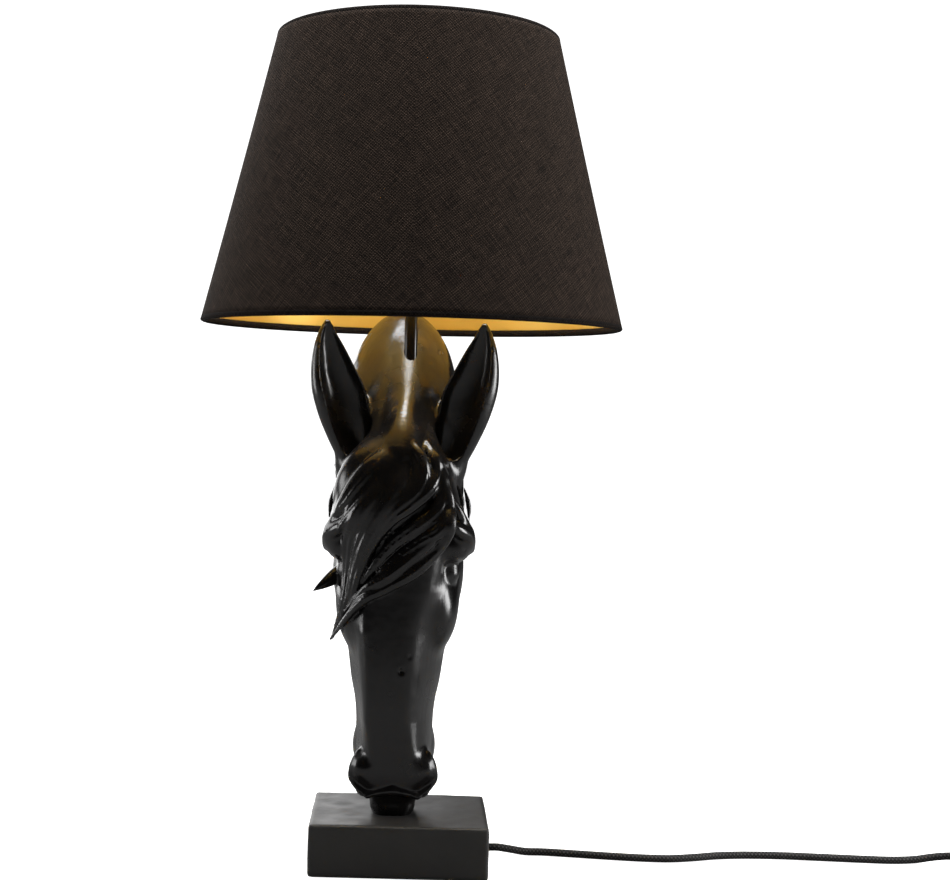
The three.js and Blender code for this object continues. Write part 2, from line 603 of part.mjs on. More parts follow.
function cordSwitch() {
  const { x, y, length, height, split } = SWITCH;
  const middle = x + length / 2;
  const holes = [8, length - 8].map((along) => [x + along, y]);
  const screw = ([sx, sy], extra = 0) => shift(turned([[0, 1.2 - extra], [2.6 + extra, 1.2 - extra],
    [2.6 + extra, 2.6], [1.4 + extra, 2.6], [1.4 + extra, 12 + extra], [0, 12 + extra]], SMALL_ROUND), sx, sy, 0);
  const posts = holes
    .map(([sx, sy]) => shift(post(3.2, split + GAP, height - 1, SMALL_ROUND), sx, sy, 0));
  const reach = ROCKER.length / 2 + ROCKER.swing;
  const window = block([middle - reach, y - ROCKER.width / 2 - 0.5, height - 4],
    [middle + reach, y + ROCKER.width / 2 + 0.5, height + 2]);
  const openings = holes.map((hole) => screw(hole, GAP));
  const stands = holes.map(([sx, sy]) => shift(post(3.6, 1, split, SMALL_ROUND), sx, sy, 0));
  return group(
    mesh('switch_base', cut(join(halfShell(0.6, split, false), ...stands), ...openings), BLACK_PLASTIC),
    mesh('switch_cover',
      cut(join(halfShell(split + GAP, height, true), ...posts), window, ...openings), BLACK_PLASTIC),
    mesh('switch_rocker', rocker(), BLACK_PLASTIC),
    mesh('switch_screw_1', screw(holes[0]), STEEL),
    mesh('switch_screw_2', screw(holes[1]), STEEL),
  );
}

function plug() {
  const { x, y, z, length, width, height, pinLength, pinRadius, pinPitch } = PLUG;
  const outline = new THREE.Shape();
  outline.moveTo(0, -4.5).lineTo(0, 4.5).lineTo(-14, width / 2).lineTo(-length, width / 2)
    .lineTo(-length, -width / 2).lineTo(-14, -width / 2).lineTo(0, -4.5);
  const body = new THREE.ExtrudeGeometry(outline, {
    depth: height - 2, bevelThickness: 1, bevelSize: 0.8, bevelOffset: -0.8, bevelSegments: 1,
  }).translate(x, y, z - (height - 2) / 2);
  const pin = (side) => post(pinRadius, -pinLength, 0, SMALL_ROUND).rotateY(Math.PI / 2)
    .translate(x - length - GAP, y + (side * pinPitch) / 2, z);
  return group(
    mesh('plug_body', body, BLACK_PLASTIC),
    mesh('plug_pin_1', pin(-1), STEEL),
    mesh('plug_pin_2', pin(1), STEEL),
  );
}

function flexSet() {
  return group(
    mesh('cord_lead', tube(LEAD, CORD.radius, 32, 8), BLACK_FABRIC),
    mesh('cord_link', tube(LINK, CORD.radius, 4, 10), BLACK_FABRIC),
    mesh('cord_coil', coilRing(), BLACK_FABRIC),
    mesh('cord_tail', tube(TAIL, CORD.radius, 4, 10), BLACK_FABRIC),
    mesh('coil_tie', coilTie(), BLACK_PLASTIC),
    cordSwitch(),
    plug(),
  );
}

// ---------------------------------------------------------------- lamp
const lamp = group(
  plinth(),
  head(),
  holder(),
  mesh('shade_ring_lower', shadeRing(FITTER.bottom - GAP - SHADE_RING.height), BLACK_PLASTIC),
  mesh('shade_ring_upper', shadeRing(FITTER.bottom + FITTER.thickness + FITTER.spokeRoom), BLACK_PLASTIC),
  bulb(),
  shade(),
  flexSet(),
);
lamp.name = 'table_lamp';

export default lamp;
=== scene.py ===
"""Looks of a table lamp: a black fabric shade lined with gold foil over a cast horse's head on a plinth."""

import math

import bmesh
import bpy
import numpy as np
import openvdb
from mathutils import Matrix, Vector


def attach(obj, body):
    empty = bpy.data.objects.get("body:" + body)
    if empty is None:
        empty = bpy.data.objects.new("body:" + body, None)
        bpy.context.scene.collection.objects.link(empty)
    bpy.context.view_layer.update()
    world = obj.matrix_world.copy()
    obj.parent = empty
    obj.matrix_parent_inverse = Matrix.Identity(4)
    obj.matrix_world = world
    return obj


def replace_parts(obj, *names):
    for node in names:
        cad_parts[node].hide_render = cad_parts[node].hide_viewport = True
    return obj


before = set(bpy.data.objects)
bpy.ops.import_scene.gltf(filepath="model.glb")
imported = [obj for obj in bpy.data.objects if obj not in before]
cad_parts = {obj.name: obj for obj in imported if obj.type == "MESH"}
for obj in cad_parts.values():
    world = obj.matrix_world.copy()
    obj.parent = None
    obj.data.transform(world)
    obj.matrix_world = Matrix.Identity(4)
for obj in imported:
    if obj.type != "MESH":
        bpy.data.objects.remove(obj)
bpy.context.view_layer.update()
MM = 0.001


# ---------------------------------------------------------------- camera
def set_camera():
    lens = bpy.data.cameras.new("camera")
    lens.lens = 60.6
    lens.shift_x = 0.069
    lens.shift_y = -0.042
    camera = bpy.data.objects.new("camera", lens)
    camera.location = (0, -1.371, 0.395)
    camera.rotation_euler = (math.radians(90), math.radians(-1.45), 0)
    bpy.context.collection.objects.link(camera)
    bpy.context.scene.camera = camera


# ---------------------------------------------------------------- cord
CORD_RADIUS = 3.25
CORD_EXIT = (76.8, 20, 8)
RUN = [CORD_EXIT, (86, 20, 8.3), (97, 22.6, 6.2), (111, 26, 3.4), (126, 26.2, 3.3),
       (146, 23.8, 3.3), (166, 20.8, 3.3), (190, 17.6, 3.3), (214, 15.2, 3.3), (236, 15.4, 3.3),
       (257, 20.6, 3.3), (279, 28.2, 3.3), (306, 32.6, 3.3), (338, 33.4, 3.3), (372, 31.2, 3.3),
       (406, 28.8, 3.3), (432, 28, 3.3), (452, 28.6, 4.2), (468, 29, 6.6), (484, 29, 8), (504, 29, 8),
       (530, 29, 8), (552, 29, 8), (564, 29, 7.4), (577, 29, 4.6), (594, 29, 3.3)]
COIL = {"x": 615, "y": 72, "rings": [(43, 3.3), (36.5, 3.3), (30, 3.3), (30, 9.8), (36.5, 9.8), (43, 9.8)]}
TURN_POINTS = 14
PLUG_END = [(594, 115, 9.8), (588, 115, 9), (580, 115, 7.6), (571, 115, 7.3)]


def coil_points():
    """Half a turn short of six: out at the bottom, in and up, and out again on top."""
    rings = COIL["rings"]
    rows = []
    count = int(5.5 * TURN_POINTS)
    for i in range(count + 1):
        turns = i / TURN_POINTS
        step = min(int(turns), 4)
        part = turns - step if turns < 5 else 1.0
        ease = np.clip((part - 0.72) / 0.28, 0, 1)
        ease = ease * ease * (3 - 2 * ease)
        low, high = np.array(rings[step]), np.array(rings[step + 1])
        radius, z = low + (high - low) * ease
        angle = -math.pi / 2 + 2 * math.pi * turns
        rows.append((COIL["x"] + radius * math.cos(angle), COIL["y"] + radius * math.sin(angle), z))
    return rows


def cord_line():
    """The whole route, from the plinth's wall to the plug."""
    return [*RUN, *coil_points(), *PLUG_END]


def smooth_path(points, per_step=8):
    """A smooth line through the points, close enough together to have its real length."""
    p = np.array(points, float)
    p = np.vstack([2 * p[0] - p[1], p, 2 * p[-1] - p[-2]])
    t = np.linspace(0, len(p) - 3 - 1e-9, (len(p) - 3) * per_step + 1)
    i = t.astype(int)
    f = (t - i)[:, None]
    a, b, c, d = p[i], p[i + 1], p[i + 2], p[i + 3]
    return 0.5 * (2 * b + (c - a) * f + (2 * a - 5 * b + 4 * c - d) * f**2 + (3 * b - a - 3 * c + d) * f**3)


# ---------------------------------------------------------------- finishes
def linear(colour):
    """An sRGB hex value as the linear colour that a shader takes."""
    c = np.array([int(colour[i:i + 2], 16) for i in (1, 3, 5)]) / 255
    return (*(float(v) for v in np.where(c <= 0.04045, c / 12.92, ((c + 0.055) / 1.055) ** 2.4)), 1.0)


def node(tree, kind, inputs=None, **settings):
    """Adds one node with its settings. An input is a value, or another node's output."""
    made = tree.nodes.new("ShaderNode" + kind)
    for name, value in settings.items():
        setattr(made, name, value)
    for name, value in (inputs or {}).items():
        if isinstance(value, bpy.types.NodeSocket):
            tree.links.new(value, made.inputs[name])
        else:
            made.inputs[name].default_value = value
    return made


def blank(name):
    """A new material whose node tree is still empty."""
    made = bpy.data.materials.new(name)
    made.use_nodes = True
    made.node_tree.nodes.clear()
    return made, made.node_tree


def surfaced(made, shader):
    """Joins a shader to its material's output."""
    node(made.node_tree, "OutputMaterial", {"Surface": shader.outputs[0]})
    return made


def lacquered_resin():
    """Polyresin casting under sprayed black lacquer: deep black with broad soft highlights, a faint orange
    peel about 2 mm wide, faint upright marks about 5 mm wide from the mould, and duller patches."""
    made, tree = blank("lacquered_resin")
    place = node(tree, "TexCoord").outputs["Object"]
    patches = node(tree, "TexNoise", {"Vector": place, "Scale": 38.0, "Detail": 4.0})
    peel = node(tree, "TexNoise", {"Vector": place, "Scale": 480.0, "Detail": 2.0})
    dents = node(tree, "TexNoise", {"Vector": place, "Scale": 95.0, "Detail": 1.0})
    rough = node(tree, "MapRange", {"Value": patches.outputs[0], "From Min": 0.3, "From Max": 0.7,
                                    "To Min": 0.16, "To Max": 0.3})
    tone = node(tree, "MapRange", {"Value": patches.outputs[0], "From Min": 0.35, "From Max": 0.7})
    colour = node(tree, "Mix", {"Factor": tone.outputs[0], "A": linear("#0b0a0a"), "B": linear("#141211")},
                  data_type="RGBA")
    drawn = node(tree, "Mapping", {"Vector": place, "Scale": (1.0, 1.0, 0.1)})
    marks = node(tree, "TexNoise", {"Vector": drawn.outputs[0], "Scale": 210.0, "Detail": 3.0})
    streaks = node(tree, "Bump", {"Height": marks.outputs[0], "Strength": 1.0, "Distance": 0.00022})
    coarse = node(tree, "Bump", {"Height": dents.outputs[0], "Strength": 1.0, "Distance": 0.00028,
                                 "Normal": streaks.outputs[0]})
    bump = node(tree, "Bump", {"Height": peel.outputs[0], "Strength": 1.0, "Distance": 0.00003,
                               "Normal": coarse.outputs[0]})
    shader = node(tree, "BsdfPrincipled", {
        "Base Color": colour.outputs["Result"], "Roughness": rough.outputs[0], "IOR": 1.5,
        "Normal": bump.outputs[0]})
    return surfaced(made, shader)


def satin_resin():
    """Cast resin under a satin coat: a flatter black, with a fine grain near 1 mm and low swells."""
    made, tree = blank("satin_resin")
    place = node(tree, "TexCoord").outputs["Object"]
    swell = node(tree, "TexNoise", {"Vector": place, "Scale": 45.0, "Detail": 3.0})
    grain = node(tree, "TexNoise", {"Vector": place, "Scale": 900.0, "Detail": 3.0})
    rough = node(tree, "MapRange", {"Value": swell.outputs[0], "From Min": 0.3, "From Max": 0.7,
                                    "To Min": 0.4, "To Max": 0.52})
    colour = node(tree, "Mix", {"Factor": swell.outputs[0], "A": linear("#333231"), "B": linear("#3e3d3c")},
                  data_type="RGBA")
    low = node(tree, "Bump", {"Height": swell.outputs[0], "Strength": 1.0, "Distance": 0.0004})
    bump = node(tree, "Bump", {"Height": grain.outputs[0], "Strength": 1.0, "Distance": 0.00003,
                               "Normal": low.outputs[0]})
    shader = node(tree, "BsdfPrincipled", {
        "Base Color": colour.outputs["Result"], "Roughness": rough.outputs[0], "IOR": 1.45,
        "Normal": bump.outputs[0]})
    return surfaced(made, shader)


def lacquered_steel():
    """Tube steel under gloss black paint: nearly a mirror, with faint lines from drawing the tube."""
    made, tree = blank("lacquered_steel")
    place = node(tree, "TexCoord").outputs["Object"]
    drawn = node(tree, "Mapping", {"Vector": place, "Scale": (1.0, 1.0, 0.04)})
    lines = node(tree, "TexNoise", {"Vector": drawn.outputs[0], "Scale": 900.0, "Detail": 2.0})
    rough = node(tree, "MapRange", {"Value": lines.outputs[0], "To Min": 0.14, "To Max": 0.26})
    bump = node(tree, "Bump", {"Height": lines.outputs[0], "Strength": 1.0, "Distance": 0.00001})
    shader = node(tree, "BsdfPrincipled", {
        "Base Color": linear("#0a0706"), "Roughness": rough.outputs[0], "IOR": 1.4,
        "Normal": bump.outputs[0]})
    return surfaced(made, shader)


def plated_steel():
    """Bright zinc plate on turned and pressed steel: pale grey, with fine tool marks and dull clouds."""
    made, tree = blank("plated_steel")
    place = node(tree, "TexCoord").outputs["Object"]
    cloud = node(tree, "TexNoise", {"Vector": place, "Scale": 160.0, "Detail": 3.0})
    marks = node(tree, "TexNoise", {"Vector": place, "Scale": 2200.0, "Detail": 2.0})
    rough = node(tree, "MapRange", {"Value": cloud.outputs[0], "From Min": 0.3, "From Max": 0.7,
                                    "To Min": 0.24, "To Max": 0.42})
    colour = node(tree, "Mix", {"Factor": cloud.outputs[0], "A": linear("#a9abad"), "B": linear("#c6c7c6")},
                  data_type="RGBA")
    bump = node(tree, "Bump", {"Height": marks.outputs[0], "Strength": 1.0, "Distance": 0.00001})
    shader = node(tree, "BsdfPrincipled", {
        "Base Color": colour.outputs["Result"], "Metallic": 1.0, "Roughness": rough.outputs[0],
        "Normal": bump.outputs[0]})
    return surfaced(made, shader)


def brass_plate():
    """Pressed brass of the contacts and the bulb's cap: warm yellow, browner where it has tarnished."""
    made, tree = blank("brass_plate")
    place = node(tree, "TexCoord").outputs["Object"]
    tarnish = node(tree, "TexNoise", {"Vector": place, "Scale": 240.0, "Detail": 4.0})
    rough = node(tree, "MapRange", {"Value": tarnish.outputs[0], "To Min": 0.22, "To Max": 0.45})
    colour = node(tree, "Mix", {"Factor": tarnish.outputs[0], "A": linear("#d8b46a"),
                                "B": linear("#a8803f")}, data_type="RGBA")
    bump = node(tree, "Bump", {"Height": tarnish.outputs[0], "Strength": 1.0, "Distance": 0.00002})
    shader = node(tree, "BsdfPrincipled", {
        "Base Color": colour.outputs["Result"], "Metallic": 1.0, "Roughness": rough.outputs[0],
        "Normal": bump.outputs[0]})
    return surfaced(made, shader)


def moulded_plastic():
    """Injection-moulded black plastic: even, a little shiny, with a spark-eroded grain of about 0.4 mm."""
    made, tree = blank("moulded_plastic")
    place = node(tree, "TexCoord").outputs["Object"]
    grain = node(tree, "TexNoise", {"Vector": place, "Scale": 2400.0, "Detail": 2.0})
    handled = node(tree, "TexNoise", {"Vector": place, "Scale": 60.0, "Detail": 3.0})
    rough = node(tree, "MapRange", {"Value": handled.outputs[0], "To Min": 0.34, "To Max": 0.5})
    colour = node(tree, "Mix", {"Factor": handled.outputs[0], "A": linear("#151515"),
                                "B": linear("#1d1d1c")}, data_type="RGBA")
    bump = node(tree, "Bump", {"Height": grain.outputs[0], "Strength": 1.0, "Distance": 0.00002})
    shader = node(tree, "BsdfPrincipled", {
        "Base Color": colour.outputs["Result"], "Roughness": rough.outputs[0], "IOR": 1.49,
        "Normal": bump.outputs[0]})
    return surfaced(made, shader)


def glazed_porcelain():
    """White glazed ceramic inside the holder: glossy over a slightly wavy body, with rare grey specks."""
    made, tree = blank("glazed_porcelain")
    place = node(tree, "TexCoord").outputs["Object"]
    wave = node(tree, "TexNoise", {"Vector": place, "Scale": 120.0, "Detail": 1.0})
    specks = node(tree, "TexVoronoi", {"Vector": place, "Scale": 500.0})
    dot = node(tree, "MapRange", {"Value": specks.outputs["Distance"], "From Min": 0.05, "From Max": 0.12})
    colour = node(tree, "Mix", {"Factor": dot.outputs[0], "A": linear("#b9b2a6"), "B": linear("#ece8df")},
                  data_type="RGBA")
    rough = node(tree, "MapRange", {"Value": wave.outputs[0], "To Min": 0.12, "To Max": 0.22})
    bump = node(tree, "Bump", {"Height": wave.outputs[0], "Strength": 1.0, "Distance": 0.0001})
    shader = node(tree, "BsdfPrincipled", {
        "Base Color": colour.outputs["Result"], "Roughness": rough.outputs[0], "IOR": 1.5,
        "Normal": bump.outputs[0]})
    return surfaced(made, shader)


def opal_glass():
    """Blown glass frosted inside: a milky white bulb, a little see-through, under a smooth clear skin."""
    made, tree = blank("opal_glass")
    place = node(tree, "TexCoord").outputs["Object"]
    frost = node(tree, "TexNoise", {"Vector": place, "Scale": 90.0, "Detail": 3.0})
    colour = node(tree, "Mix", {"Factor": frost.outputs[0], "A": linear("#e9e7e1"), "B": linear("#f4f3ef")},
                  data_type="RGBA")
    rough = node(tree, "MapRange", {"Value": frost.outputs[0], "To Min": 0.16, "To Max": 0.24})
    shader = node(tree, "BsdfPrincipled", {
        "Base Color": colour.outputs["Result"], "Roughness": rough.outputs[0], "IOR": 1.5,
        "Transmission Weight": 0.35})
    return surfaced(made, shader)


def wool_felt():
    """Pressed black felt under the plinth: matt and fibrous, with a soft edge light from loose fibres."""
    made, tree = blank("wool_felt")
    place = node(tree, "TexCoord").outputs["Object"]
    fibre = node(tree, "TexNoise", {"Vector": place, "Scale": 1400.0, "Detail": 5.0, "Distortion": 1.2})
    colour = node(tree, "Mix", {"Factor": fibre.outputs[0], "A": linear("#101010"), "B": linear("#2a2a29")},
                  data_type="RGBA")
    bump = node(tree, "Bump", {"Height": fibre.outputs[0], "Strength": 1.0, "Distance": 0.0002})
    shader = node(tree, "BsdfPrincipled", {
        "Base Color": colour.outputs["Result"], "Roughness": 0.95, "Sheen Weight": 0.4,
        "Sheen Roughness": 0.5, "Normal": bump.outputs[0]})
    return surfaced(made, shader)


THREAD = 0.9          # mm between threads, about twice the real spacing so that the weave shows


def linen_weave(name="linen_weave", dark="#241e1a", light="#463a32"):
    """Plain-woven linen look: black-brown threads a little uneven in thickness and tone, with long slubs.
    The threads run straight over the flat cut of the cloth, so they lean towards the sides of the cone."""
    made, tree = blank(name)
    flat = node(tree, "UVMap", uv_map="flat").outputs[0]
    thread = 1000 / THREAD
    waver = node(tree, "TexNoise", {"Vector": flat, "Scale": 120.0, "Detail": 2.0})
    bent = node(tree, "Mix", {"Factor": 0.0004, "A": flat, "B": waver.outputs["Color"]}, data_type="VECTOR",
                blend_type="MIX")
    threads = {"Vector": bent.outputs["Result"], "Scale": thread / 20 * math.pi, "Distortion": 0.0}
    warp = node(tree, "TexWave", threads, bands_direction="X")
    weft = node(tree, "TexWave", threads, bands_direction="Y")
    across = node(tree, "Mapping", {"Vector": flat, "Scale": (0.05, 1.0, 1.0)})
    along = node(tree, "Mapping", {"Vector": flat, "Scale": (1.0, 0.05, 1.0)})
    weft_slub = node(tree, "TexNoise", {"Vector": across.outputs[0], "Scale": 900.0, "Detail": 3.0})
    warp_slub = node(tree, "TexNoise", {"Vector": along.outputs[0], "Scale": 900.0, "Detail": 3.0})
    slubs = node(tree, "Math", {0: weft_slub.outputs[0], 1: warp_slub.outputs[0]}, operation="ADD")
    height = node(tree, "Math", {0: warp.outputs["Fac"], 1: weft.outputs["Fac"]}, operation="MULTIPLY")
    cloth = node(tree, "Math", {0: height.outputs[0], 1: slubs.outputs[0]}, operation="MULTIPLY")
    tone = node(tree, "MapRange", {"Value": slubs.outputs[0], "From Min": 0.75, "From Max": 1.25})
    # painted shade: where the weave is low, in the hollows between the threads, the colour is drawn towards
    # near-black #0d0b0a
    deep = node(tree, "MapRange", {"Value": cloth.outputs[0], "From Min": 0.0, "From Max": 0.6,
                                   "To Min": 0.35, "To Max": 1.0})
    thread_tone = node(tree, "Mix", {"Factor": tone.outputs[0], "A": linear(dark), "B": linear(light)},
                       data_type="RGBA")
    colour = node(tree, "Mix", {"Factor": deep.outputs[0], "A": linear("#0d0b0a"),
                                "B": thread_tone.outputs["Result"]}, data_type="RGBA")
    bump = node(tree, "Bump", {"Height": cloth.outputs[0], "Strength": 1.0, "Distance": 0.00025})
    shader = node(tree, "BsdfPrincipled", {
        "Base Color": colour.outputs["Result"], "Roughness": 0.95, "IOR": 1.3, "Specular IOR Level": 0.15,
        "Normal": bump.outputs[0]})
    return surfaced(made, shader)


def gold_foil():
    """Metallised film on the inside of the shade: satin gold, with a fine leather-like crinkle."""
    made, tree = blank("gold_foil")
    place = node(tree, "TexCoord").outputs["Object"]
    crinkle = node(tree, "TexNoise", {"Vector": place, "Scale": 420.0, "Detail": 4.0, "Distortion": 0.6})
    cloud = node(tree, "TexNoise", {"Vector": place, "Scale": 24.0, "Detail": 2.0})
    rough = node(tree, "MapRange", {"Value": cloud.outputs[0], "From Min": 0.3, "From Max": 0.7,
                                    "To Min": 0.38, "To Max": 0.5})
    colour = node(tree, "Mix", {"Factor": cloud.outputs[0], "A": linear("#e2b850"), "B": linear("#edcb6a")},
                  data_type="RGBA")
    bump = node(tree, "Bump", {"Height": crinkle.outputs[0], "Strength": 1.0, "Distance": 0.00012})
    shader = node(tree, "BsdfPrincipled", {
        "Base Color": colour.outputs["Result"], "Metallic": 0.35, "Roughness": rough.outputs[0],
        "Normal": bump.outputs[0]})
    return surfaced(made, shader)


def braided_textile():
    """Rayon braid round the flex: fine crossing strands about 1 mm wide, charcoal with a silky fleck."""
    made, tree = blank("braided_textile")
    run = node(tree, "UVMap", uv_map="flat").outputs[0]
    one = node(tree, "Mapping", {"Vector": run, "Rotation": (0, 0, math.radians(38))})
    two = node(tree, "Mapping", {"Vector": run, "Rotation": (0, 0, math.radians(-38))})
    strands = 1000 / 1.3 / 20 * math.pi
    left = node(tree, "TexWave", {"Vector": one.outputs[0], "Scale": strands}, bands_direction="X")
    right = node(tree, "TexWave", {"Vector": two.outputs[0], "Scale": strands}, bands_direction="X")
    over = node(tree, "Math", {0: left.outputs["Fac"], 1: right.outputs["Fac"]}, operation="MULTIPLY")
    fleck = node(tree, "TexNoise", {"Vector": run, "Scale": 1500.0, "Detail": 2.0})
    # painted shade: the braid is darker down between the crossing strands, where both strand waves are low;
    # the fleck adds tone that differs at random
    blend = node(tree, "Math", {0: over.outputs[0], 1: fleck.outputs[0]}, operation="MULTIPLY")
    tone = node(tree, "MapRange", {"Value": blend.outputs[0], "From Min": 0.05, "From Max": 0.5})
    colour = node(tree, "Mix", {"Factor": tone.outputs[0], "A": linear("#100f0f"), "B": linear("#4a4746")},
                  data_type="RGBA")
    bump = node(tree, "Bump", {"Height": over.outputs[0], "Strength": 1.0, "Distance": 0.0004})
    shader = node(tree, "BsdfPrincipled", {
        "Base Color": colour.outputs["Result"], "Roughness": 0.6, "IOR": 1.4, "Sheen Weight": 0.2,
        "Sheen Roughness": 0.35, "Normal": bump.outputs[0]})
    return surfaced(made, shader)


# ---------------------------------------------------------------- shapes
def piece(name, points, faces, finish, body="base", flat=None):
    """A mesh of the lamp, given in millimetres. flat is a place on its unrolled surface for each corner."""
    mesh = bpy.data.meshes.new(name)
    mesh.from_pydata((np.asarray(points, float) * MM).tolist(), [], faces)
    if flat is not None:
        layer = mesh.uv_layers.new(name="flat")
        layer.data.foreach_set("uv", (np.asarray(flat, float) * MM).astype(np.float32).ravel())
    mesh.validate()
    mesh.update()
    mesh.polygons.foreach_set("use_smooth", [True] * len(mesh.polygons))
    mesh.materials.append(finish)
    made = bpy.data.objects.new(name, mesh)
    bpy.context.collection.objects.link(made)
    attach(made, body)
    return made


def crisp(made, degrees=35):
    """Keeps the edges of a turned or moulded piece sharp in its shading."""
    made.data.set_sharp_from_angle(angle=math.radians(degrees))
    return made


def turned(name, rows, finish, body="base", count=96, closed=True, wobble=None, cone=None):
    """Turns a profile of [radius, height] rows about Z. wobble changes a radius by its angle and height.
    cone is the sine of a cone's lean: with it the piece unrolls as a cone and not as a cylinder."""
    rows = np.array(rows, float)
    loop = np.vstack([rows, rows[:1]]) if closed else rows
    run = np.concatenate([[0], np.cumsum(np.linalg.norm(np.diff(loop, axis=0), axis=1))])
    angles = np.linspace(0, 2 * math.pi, count, endpoint=False) - math.pi / 2
    radius = np.repeat(rows[None, :, 0], count, 0)
    height = np.repeat(rows[None, :, 1], count, 0)
    turn = np.repeat(angles[:, None], len(rows), 1)
    if wobble:
        radius = radius + wobble(turn, radius, height)
    points = np.stack([radius * np.cos(turn), radius * np.sin(turn), height], -1).reshape(-1, 3)
    steps = len(loop) - 1
    faces, flat = [], []
    for i in range(count):
        j = (i + 1) % count
        for a in range(steps):
            b = (a + 1) % len(rows)
            corners = [(i, a, a), (j, a, a), (j, b, a + 1), (i, b, a + 1)]
            faces.append(tuple(c * len(rows) + r for c, r, _ in corners))
            for k, (c, r, s) in enumerate(corners):
                angle = 2 * math.pi * ((i if k in (0, 3) else i + 1) / count - 0.5)
                if cone:
                    slant = rows[r, 0] / cone
                    flat.append((slant * math.sin(angle * cone), -slant * math.cos(angle * cone)))
                else:
                    flat.append((angle * rows[:, 0].max(), run[s]))
    made = piece(name, points, faces, finish, body, flat)
    tidy_poles(made)
    return made


def tidy_poles(made):
    """Closes a turned piece neatly where its profile meets the axis."""
    work = bmesh.new()
    work.from_mesh(made.data)
    bmesh.ops.remove_doubles(work, verts=work.verts, dist=1e-7)
    bmesh.ops.recalc_face_normals(work, faces=work.faces)
    work.to_mesh(made.data)
    work.free()


def tube(name, points, radius, finish, body="base", sides=14, per_step=6):
    """A round wire or flex along a smooth path, with closed ends."""
    line = smooth_path(points, per_step)
    tangent = np.gradient(line, axis=0)
    tangent /= np.linalg.norm(tangent, axis=1)[:, None]
    side = np.cross(tangent[0], (0.0, 0.0, 1.0) if abs(tangent[0][2]) < 0.9 else (1.0, 0.0, 0.0))
    rings, run = [], np.concatenate([[0], np.cumsum(np.linalg.norm(np.diff(line, axis=0), axis=1))])
    angles = np.linspace(0, 2 * math.pi, sides, endpoint=False)
    for p, t in zip(line, tangent):
        side = side - t * (side @ t)
        side /= np.linalg.norm(side)
        up = np.cross(t, side)
        rings.append(p + radius * (np.cos(angles)[:, None] * side + np.sin(angles)[:, None] * up))
    points = np.concatenate([*rings, line[:1], line[-1:]])
    faces, flat, last = [], [], len(line) - 1
    for i in range(last):
        for a in range(sides):
            b = (a + 1) % sides
            faces.append((i * sides + a, i * sides + b, (i + 1) * sides + b, (i + 1) * sides + a))
            for s, k in ((a, i), (a + 1, i), (a + 1, i + 1), (a, i + 1)):
                flat.append((run[k], s * 2 * math.pi * radius / sides))
    for a in range(sides):
        b = (a + 1) % sides
        faces.append((len(points) - 2, b, a))
        faces.append((len(points) - 1, last * sides + a, last * sides + b))
        flat += [(0, 0), (0, b), (0, a), (0, 0), (0, a), (0, b)]
    return piece(name, points, faces, finish, body, flat)


# ---------------------------------------------------------------- modelling in clay
def near_min(a, b, k):
    """The smaller of two distances, with a fillet of about k where they meet."""
    h = np.clip(0.5 + 0.5 * (b - a) / k, 0.0, 1.0)
    return b + (a - b) * h - k * h * (1.0 - h)


def near_max(a, b, k):
    return -near_min(-a, -b, k)


def tilted(p, tilt):
    for axis, angle in enumerate(tilt):
        if angle:
            c, s = math.cos(math.radians(angle)), math.sin(math.radians(angle))
            i, j = [(1, 2), (2, 0), (0, 1)][axis]
            p[i], p[j] = c * p[i] + s * p[j], c * p[j] - s * p[i]
    return p


def smoothed(points, quads, passes=3):
    """Eases each point towards its neighbours and a little back, which keeps the volume."""
    ends = np.concatenate([quads[:, [0, 1]], quads[:, [1, 2]], quads[:, [2, 3]], quads[:, [3, 0]]])
    shared = np.bincount(ends[:, 0], minlength=len(points))[:, None]
    out = points.astype(float)
    for step in (0.55, -0.57) * passes:
        near = np.stack([np.bincount(ends[:, 0], out[ends[:, 1], i], len(points)) for i in range(3)], 1)
        out = out + step * (near / np.maximum(shared, 1) - out)
    return out


